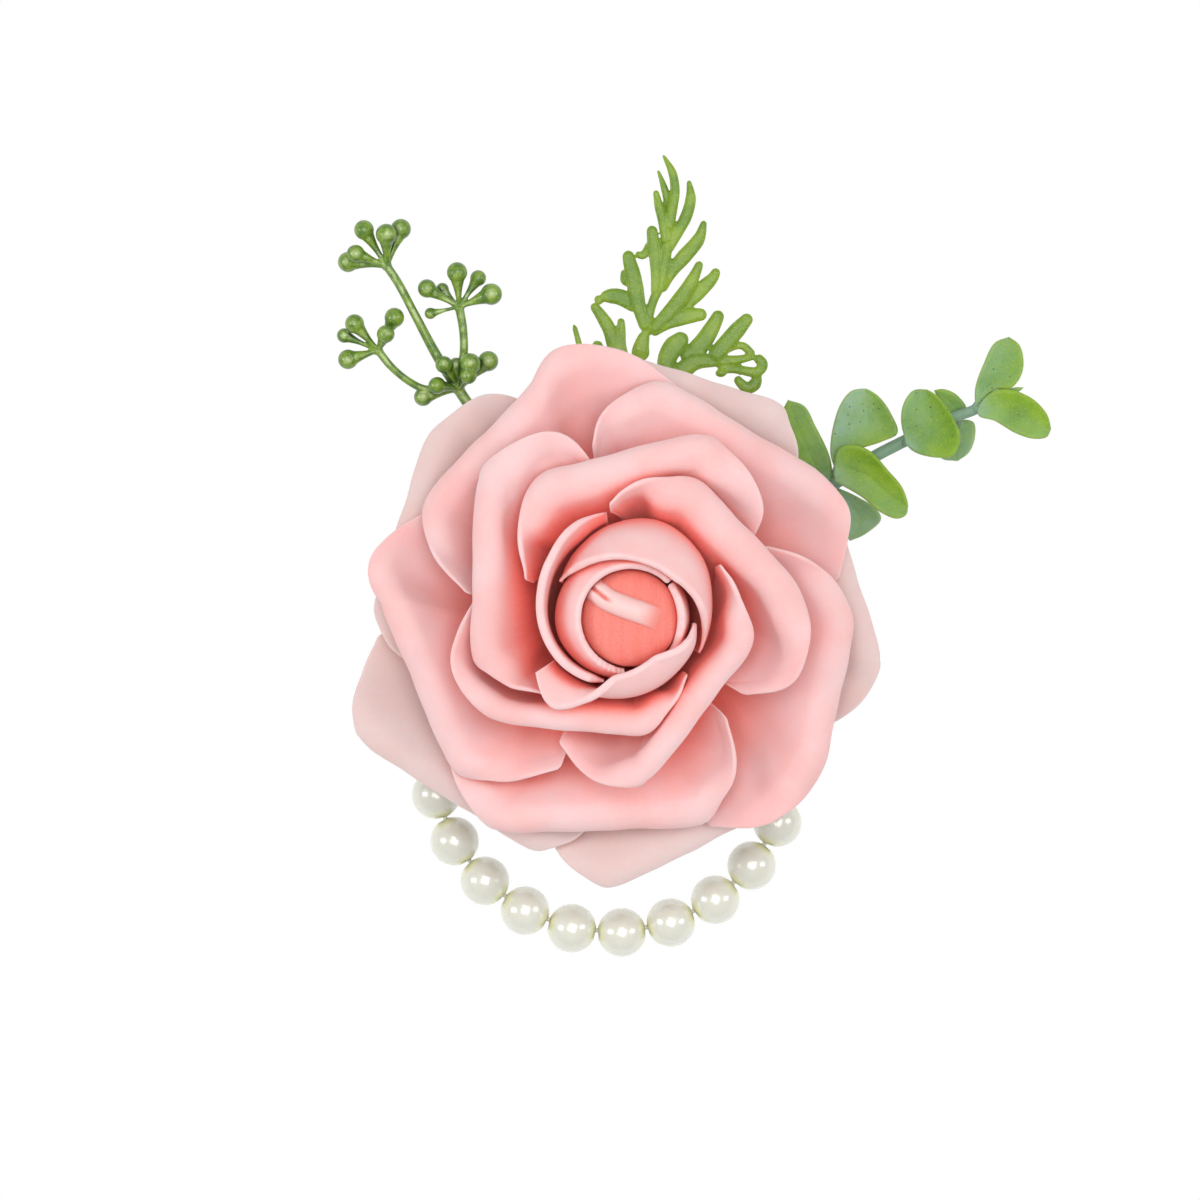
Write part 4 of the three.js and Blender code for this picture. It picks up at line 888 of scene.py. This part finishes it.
BERRIES = [
    (TOP_HUB, [
        (-39.3, 61.5, 1.6, 10.5), (-35.7, 60.7, 1.7, 12.2), (-33.5, 61.7, 1.65, 9.6),
        (-40.6, 57.7, 1.45, 11), (-41.9, 56.5, 1.65, 9)]),
    (RIGHT_HUB, [
        (-29.3, 52.2, 1.5, 10.5), (-26.9, 52.2, 1.05, 8.6), (-24.5, 54.7, 1.65, 11.5),
        (-21.2, 53.9, 1.3, 9.5), (-19.1, 51.3, 1.75, 10.5), (-28.8, 48.3, 0.95, 9.4)]),
    (LEFT_HUB, [
        (-40.8, 46.6, 1.55, 10.4), (-42.5, 44.8, 1.2, 9), (-41.9, 41, 1.6, 9.4),
        (-34.5, 47.6, 1.6, 10), (-35.8, 44.9, 1.45, 12)]),
    (LOW_HUB, [
        (-30, 35.1, 1.5, 7.4), (-27.7, 36.8, 1.4, 10.5), (-26.6, 40.1, 1.4, 11), (-22.4, 40.2, 1.7, 12),
        (-19.6, 40.7, 1.65, 9.6), (-22.7, 38.3, 1.4, 12.4), (-24.7, 40.1, 1.2, 9.6)]),
]
STALK_RADIUS, STALK_GROWTH, FULL_BERRY = 0.4, 0.25, 1.5
# Start, length and fullness of the swelling below a berry, and where the ball takes over, in its radii
SWELL_START, SWELL_LENGTH, SWELL_FULLNESS, BALL_START = 3.8, 2.4, 0.8, 1.05
BALL_ARC = (0.25, math.pi - 0.08)
STALK_RINGS, BALL_RINGS, BERRY_SIDES = 12, 18, 16
KNOT_DROP, KNOT_RISE, KNOT_RADII = np.array([0, 0, 0.9]), np.array([0, 0.01, 0.5]), [0.5, 0.95, 0.2]
SPRAY_VOXEL = 0.16


def stalked_berry(start, tip, radius):
    """Rings of a stalk that swells into a ball round its tip."""
    along = unit(tip - start)
    length = np.linalg.norm(tip + along * radius - start)
    run = np.concatenate([np.linspace(0, length - 2 * radius, STALK_RINGS, endpoint=False),
                          length - radius - radius * np.cos(np.linspace(*BALL_ARC, BALL_RINGS))])
    ball = np.sqrt(np.maximum(radius ** 2 - (run - (length - radius)) ** 2, 0))
    slim = min(radius, FULL_BERRY)
    neck = (STALK_RADIUS + STALK_GROWTH * np.clip(run / length, 0, 1)) * slim / FULL_BERRY
    swell = np.clip((run - length + SWELL_START * radius) / (SWELL_LENGTH * radius), 0, 1) ** 2
    neck = np.minimum(neck + (SWELL_FULLNESS * radius - neck) * swell, radius)
    profile = np.where(run > length - BALL_START * radius, ball, np.maximum(ball, neck))
    return tube_rings(start + along * run[:, None], profile, profile, BERRY_SIDES)


def berry_spray():
    bundle = Bundle()
    for points, radii in SPRAY_STEMS:
        bundle.tube(points, radii, sides=14, count=40)
    for hub, berries in BERRIES:
        start = np.array(hub)
        bundle.tube([start - KNOT_DROP, start + KNOT_RISE], KNOT_RADII, sides=12, count=8)
        for x, y, radius, height in berries:
            bundle.add_rings(stalked_berry(start, np.array([x, y, height]), radius))
    return fuse(bundle.build("berry_spray_moulding"), SPRAY_VOXEL)


dress(berry_spray(), "spray", "berry_green", berry_green, "berry_spray")


# Fern: lobes as points of their middle lines and widths

FERN_LOBES = [
    ([(1.6, 15.2), (4.2, 30), (4.7, 40.8), (5.5, 45.4), (6.6, 50.2), (8.1, 53.5), (8.7, 57.4),
      (9.1, 61.5), (9.5, 65)],
     [2.0, 1.8, 1.5, 1.1, 1, 1.1, 1.3, 1.4, 1.3]),
    ([(9.1, 61.5), (9.7, 65), (10.1, 67.8), (9.7, 70.6), (8.2, 73.5)], [1.3, 1.4, 1.3, 1.1, 0.2]),
    ([(9.1, 62.5), (8.9, 66.3), (8.2, 68.9), (7.4, 71.1)], [1, 1.1, 0.9, 0.2]),
    ([(8.7, 59.4), (8, 63.5), (7.4, 66), (7, 67.9)], [1, 1.2, 1.3, 0.6]),
    ([(9.1, 58.1), (10.4, 60.9), (11.9, 63.8), (12.6, 66.6), (12.3, 69.5)], [0.8, 1.5, 1.7, 1.5, 0.4]),
    ([(7.9, 51.8), (9.4, 54.8), (11.6, 57.4), (13.9, 60.2), (14.8, 63.1)], [1.1, 1.8, 2.2, 1.9, 0.6]),
    ([(6.2, 45.4), (8.9, 48.2), (11.4, 51.3), (13.1, 54.1), (14.2, 56.6)], [1.3, 2, 2.2, 1.8, 0.9]),
    ([(9.4, 48.4), (11.9, 50.2), (14.4, 52.3), (16.2, 54.1), (16.9, 55.5)], [1.8, 2.4, 2.4, 1.9, 1]),
    ([(6.2, 45.1), (8.9, 46.9), (11.4, 47.7), (13.6, 48.1), (15.2, 48.1)], [1.3, 1.9, 2.3, 2.2, 1.5]),
    ([(6.9, 51.1), (7.1, 54.3), (6.9, 58.1), (6.5, 60.9), (6.4, 62.3)], [1, 1.4, 1.7, 1.8, 1.3]),
    ([(6, 59.7), (5.1, 57.6), (3.8, 57.8)], [0.5, 1.1, 0.8]),
    ([(5.4, 45.6), (4.2, 50.2), (3.5, 54.1), (2.8, 56.9), (2.5, 58.3)], [1.3, 1.9, 2.4, 2.2, 1.5]),
    ([(3.2, 52.8), (2.1, 53.5), (1.9, 55.3)], [0.8, 1, 0.5]),
    ([(4.3, 49), (2.8, 50.2), (1.1, 51), (-0.7, 51), (-1.6, 50.5)], [1.8, 2.3, 2.4, 2.2, 1.3]),
    ([(3.4, 33), (0.4, 43.2), (-0.4, 45.9), (-1.6, 47.9), (-2.7, 49.3), (-3.3, 49.6)],
     [1.6, 2, 2.2, 2, 1.9, 1.1]),
    ([(-1.4, 50.9), (-2.6, 50.1)], [1.3, 1.3]),
    ([(3.8, 36), (1.6, 43.1), (1.6, 45.4), (1.5, 47.6)], [1.2, 1.4, 1.3, 0.9]),
    ([(4.6, 40.8), (4.7, 42.8), (5.4, 45.4)], [3.3, 2.3, 1.3]),
    ([(3, 32), (-2.1, 42.8), (-2.6, 44)], [1.4, 2, 1.5]),
    ([(2.6, 28), (-4, 40), (-6, 46.6)], [1.2, 1.2, 0.5]),
]
SIDE_LOBES = [
    ([(4.2, 14.7), (8.6, 32), (10.5, 38), (13.1, 40.5), (16.9, 40.8), (20.2, 41), (22.9, 41.6)],
     [2, 1.8, 2.2, 3.2, 3, 1.6, 0.8]),
    ([(8.8, 36), (8.6, 40), (9.4, 42.3), (10.9, 44), (12, 45)], [1.6, 2, 2.8, 3.2, 1.8]),
    ([(11.4, 40.5), (14.4, 43.6), (16.2, 46.4), (17.4, 48.8)], [2.3, 2.8, 2.4, 1.5]),
    ([(15.9, 41), (18.2, 43.6), (20.4, 46.1), (22.2, 48.1)], [2.3, 2.4, 2.4, 1.5]),
    ([(22.9, 41.6), (24.1, 40.3), (23.3, 39.1), (20.2, 39.4), (16.9, 39.6)], [1.3, 1.5, 1.3, 1, 1.5]),
    ([(17.9, 42.1), (19.7, 43.1), (20.9, 43.2), (22.7, 41.6)], [0.6, 0.8, 1.1, 1]),
    ([(17.4, 39.5), (17.5, 38.2)], [2, 2]),
    ([(23.3, 39), (22.9, 37.2), (21.7, 36.5), (19.7, 38.2)], [1, 1.8, 1.5, 1]),
]
FROND_ROOT = 15
FROND_BASE, FERN_TIP, SIDE_TIP = 6, 9.6, 8.3
LOBE_FILL, LOBE_THICKNESS = 0.28, 1.1
STAGGER, STAGGER_STEP = 0.35, 2.4
LOBE_RINGS, RINGS_PER_POINT = 12, 8
FROND_VOXEL = 0.17


def frond(name, lobes, tip_height):
    bundle = Bundle()
    reach = max(y for points, _ in lobes for _, y in points)
    for number, (points, widths) in enumerate(lobes):
        lift = STAGGER * math.sin(STAGGER_STEP * number)
        raised = []
        for x, y in points:
            rise = math.sqrt(max(y - FROND_ROOT, 0) / (reach - FROND_ROOT))
            raised.append((x, y, FROND_BASE + (tip_height - FROND_BASE) * rise + lift))
        count = LOBE_RINGS + RINGS_PER_POINT * len(points)
        bundle.lobe(raised, [width + LOBE_FILL for width in widths], LOBE_THICKNESS, count)
    return fuse(bundle.build(name), FROND_VOXEL)


dress(frond("fern_moulding", FERN_LOBES, FERN_TIP), "fern", "fern_green", fern_green, "fern_frond")
side_frond = frond("fern_side_moulding", SIDE_LOBES, SIDE_TIP)
dress(side_frond, "fern", "fern_green", fern_green, "fern_side_frond")


# Eucalyptus: leaves as number of the pair, base, tip, left and right edge points, heights of base and
# tip, and bloom on either half

TWIG = [(13.1, 7.9, 6), (24, 14.6, 7), (35.6, 21.3, 8), (41.8, 25.5, 8.6), (45.8, 27.6, 9),
        (49.8, 29.6, 9.2), (53.8, 31.6, 9.4), (57.8, 33, 9.5), (60.4, 34.6, 9.6)]
LEAVES = [
    (1, (35.4, 20.3), (28.1, 34.6), [(31.2, 21.5), (28.2, 26.6), (27, 32)],
     [(34.8, 25.3), (32.4, 30.5), (30.7, 33.6)], 8.2, 8.2, (0.1, 0.35)),
    (1, (35.6, 20.8), (38.2, 12.2), [(39, 19.3), (42.4, 17.1), (43.1, 15.6), (40.4, 13.1)],
     [(35.8, 18.5), (36.4, 15.1), (37.3, 13.1)], 6.6, 3.4, (0.9, 1.0)),
    (2, (35.6, 23.3), (40.4, 36.3), [(34.8, 25.9), (35.1, 29.9), (36.4, 33.9), (38.1, 35.9)],
     [(38.4, 26.2), (43, 27.9), (45.4, 29.2), (44.4, 32.2), (42.6, 34.8)], 9.4, 11, (1.0, 0.15)),
    (2, (35.3, 21.6), (47, 17.4),
     [(35.3, 24.2), (36.1, 26.8), (38.4, 27.3), (41, 26.3), (43.8, 23.3), (46.1, 20.5)],
     [(36.7, 20.8), (39.6, 19.1), (42.7, 16.6), (45.3, 15.6), (46.7, 16.2)], 11, 12, (0.0, 0.3)),
    (3, (46.7, 27.6), (49.8, 36.1), [(45.9, 31.1), (46.3, 33.9), (47.8, 35.9)],
     [(48.1, 26.2), (51.6, 25.3), (54.1, 25.6), (55.3, 28.5), (53.6, 32.5), (51.8, 34.8)],
     11.2, 12.4, (0.45, 0.0)),
    (3, (55.5, 32.5), (51.3, 36.1), [(54.4, 31.9), (52.7, 33.6)],
     [(56.5, 33.3), (54.8, 35.5), (52.8, 36.3)], 8, 8.6, (0.2, 0.2)),
    (3, (55.3, 31.1), (55.3, 24.9), [(57.7, 31.1), (58, 28.8), (57.1, 26.3)],
     [(52.7, 29.9), (51.6, 27.6), (52.7, 25.3)], 7, 5.6, (0.7, 0.7)),
    (4, (57.8, 33.3), (63.1, 44.5), [(57.8, 36.5), (59.1, 40.3), (60.8, 43.5)],
     [(61, 36.1), (63.3, 36.3), (64.8, 37.9), (65.4, 40.2), (64.8, 43.1)], 9.8, 11, (0.5, 0.2)),
    (4, (58, 33.1), (69.8, 29.9), [(59.3, 34.9), (61.3, 36.1), (64.1, 35.9), (67, 34.5), (69.1, 32.2)],
     [(58.4, 31.9), (60.7, 31.2), (64.1, 29.2), (67, 28.3), (69.1, 28.6)], 10.4, 11, (0.0, 0.3)),
    (4, (62.7, 36.1), (65.5, 36.5), [(64.1, 36.5)], [(64.4, 35.7), (65.1, 36.1)], 10.2, 10.4, (0.4, 0.4)),
]
LEAF_ROWS, LEAF_COLUMNS = 44, 26
LEAST_LEAF_WIDTH = 1.2
LEAF_HALF_THICKNESS = 0.42
LEAF_ARCH, LEAF_CUP, CUP_FLATNESS = 0.05, 0.1, 1.6
VEIN_DEPTH, VEIN_WIDTH = 0.012, 0.12
TIP_ROUND, LEAF_CUT_WIDTH = 0.6, 0.35
BLOOM_BLUR, BLOOM_FOOT = 0.13, 0.2
# Share of the leaf that its stalk runs into, how deep it lies there, and its radii
STALK_INSIDE, STALK_SUNK, STALK_RADII = 0.12, 0.2, [0.75, 0.5, 0.3]
TWIG_RADII = [1.05, 1.05, 1.0, 0.95, 0.8]


def leaf(name, base, tip, left, right, base_height, tip_height, bloom):
    left_line, left_length = even_curve([base, *left, tip], LEAF_ROWS)
    right_line, right_length = even_curve([base, *right, tip], LEAF_ROWS)
    share = np.linspace(0, 1, LEAF_ROWS)[:, None]
    width = np.linalg.norm(right_line - left_line, axis=1)[:, None]
    place = np.array([edge_offsets(span, LEAF_COLUMNS) / span
                      for span in np.maximum(width[:, 0], LEAST_LEAF_WIDTH)])
    flat = left_line[:, None] * (1 - place[..., None]) + right_line[:, None] * place[..., None]
    side = 2 * place - 1
    arch = LEAF_ARCH * math.dist(base, tip) * np.sin(math.pi * share)
    cup = LEAF_CUP * width * (np.abs(side) ** CUP_FLATNESS - 0.5)
    vein = VEIN_DEPTH * width * bell(side, VEIN_WIDTH)
    z = base_height + (tip_height - base_height) * share + arch + cup - vein
    grid = np.concatenate([flat, z[..., None]], axis=-1)
    to_side = np.minimum(place, 1 - place) * width
    to_tip = np.minimum(share, 1 - share) * min(left_length, right_length) + 0 * to_side
    thick = LEAF_HALF_THICKNESS * roundness(to_side) * roundness(to_tip, TIP_ROUND)
    shade = bloom[0] + (bloom[1] - bloom[0]) / (1 + np.exp(-(place - 0.5) / BLOOM_BLUR))
    shade = shade + (1 - shade) * bell(share, BLOOM_FOOT)
    return closed_sheet(name, grid, thick, {"edge": bell(to_side, LEAF_CUT_WIDTH), "bloom": shade})


def leaf_stalk(name, base, tip, base_height, tip_height):
    """Short stalk from the twig into the foot of a leaf."""
    line = np.array(TWIG)
    start = [np.interp(base[0], line[:, 0], line[:, axis]) for axis in range(3)]
    inside = [base[axis] + STALK_INSIDE * (tip[axis] - base[axis]) for axis in range(2)]
    arch = LEAF_ARCH * math.dist(base, tip) * math.sin(math.pi * STALK_INSIDE)
    inside.append(base_height + STALK_INSIDE * (tip_height - base_height) + arch - STALK_SUNK)
    middle = [*base, (start[2] + 2 * base_height) / 3]
    return tube_piece(name, [start, middle, inside], STALK_RADII, sides=12, count=14)


twig = tube_piece("eucalyptus_twig", TWIG, TWIG_RADII, sides=20, count=80)
dress(twig, "eucalyptus", "twig_green", twig_green, "eucalyptus_stem")
for number, (pair, base, tip, left, right, base_height, tip_height, bloom) in enumerate(LEAVES):
    piece = leaf(f"eucalyptus_leaf_{number + 1}", base, tip, left, right, base_height, tip_height, bloom)
    dress(piece, "eucalyptus", "leaf_green", leaf_green, f"eucalyptus_leaf_pair_{pair}")
    stalk = leaf_stalk(f"eucalyptus_stalk_{number + 1}", base, tip, base_height, tip_height)
    dress(stalk, "eucalyptus", "leaf_green", twig_green)


# Stage, light and camera

WHITE = (1, 1, 1, 1)
FLOOR_REACH, FLOOR_HEIGHT = 3000, -0.05
AIM = Vector((0, 0, 0.02))
WORLD_STRENGTH = 0.55
SENSOR_WIDTH = 36
VIEW_DISTANCE, VIEW_WIDTH = 0.9, 0.192
EYE = (-0.00182, 0.00272, 0.904)


def floor():
    signs = ((-1, -1), (1, -1), (1, 1), (-1, 1))
    corners = [(x * FLOOR_REACH, y * FLOOR_REACH, FLOOR_HEIGHT) for x, y in signs]
    plane = mesh_object("studio_floor", corners, [(0, 1, 2, 3)])
    paint = Paint("white floor")
    grain = paint.noise(60.0, 2.0)
    paint.set(base_color=paint.mix(grain, (0.86, 0.86, 0.86), (0.88, 0.88, 0.88)), roughness=0.6)
    glow = paint.node("Emission", {"Color": WHITE, "Strength": 1.0})
    rays = paint.node("LightPath").outputs
    seen = paint.maths("ADD", rays["Is Camera Ray"], rays["Is Glossy Ray"])
    seen = paint.maths("ADD", seen, rays["Is Transmission Ray"])
    blend = paint.node("MixShader", {0: seen, 1: paint.bsdf.outputs["BSDF"], 2: glow.outputs["Emission"]})
    paint.feed(paint.nodes["Material Output"].inputs["Surface"], blend.outputs["Shader"])
    plane.data.materials.append(paint.material)


def softbox(name, place, size, power):
    light = bpy.data.lights.new(name, "AREA")
    light.shape = "RECTANGLE"
    light.size, light.size_y = size
    light.energy = power
    obj = bpy.data.objects.new(name, light)
    bpy.context.scene.collection.objects.link(obj)
    obj.location = place
    obj.rotation_euler = (AIM - obj.location).to_track_quat("-Z", "Y").to_euler()


floor()
softbox("left softbox", (-1.0, 0.05, 0.72), (0.32, 0.5), 3.0)
softbox("right softbox", (1.0, 0.12, 0.78), (0.32, 0.5), 2.5)
softbox("top light", (0.04, 0.1, 1.5), (1.0, 1.0), 10.4)

world = bpy.data.worlds.new("studio")
world.use_nodes = True
sky = world.node_tree.nodes["Background"]
sky.inputs["Color"].default_value = WHITE
sky.inputs["Strength"].default_value = WORLD_STRENGTH
scene = bpy.context.scene
scene.world = world
scene.view_settings.view_transform = "Standard"

camera = bpy.data.cameras.new("camera")
camera.sensor_width = SENSOR_WIDTH
camera.lens = SENSOR_WIDTH * VIEW_DISTANCE / VIEW_WIDTH
camera.clip_start, camera.clip_end = 0.05, 20
eye = bpy.data.objects.new("camera", camera)
eye.location = EYE
scene.collection.objects.link(eye)
scene.camera = eye

bpy.context.view_layer.update()
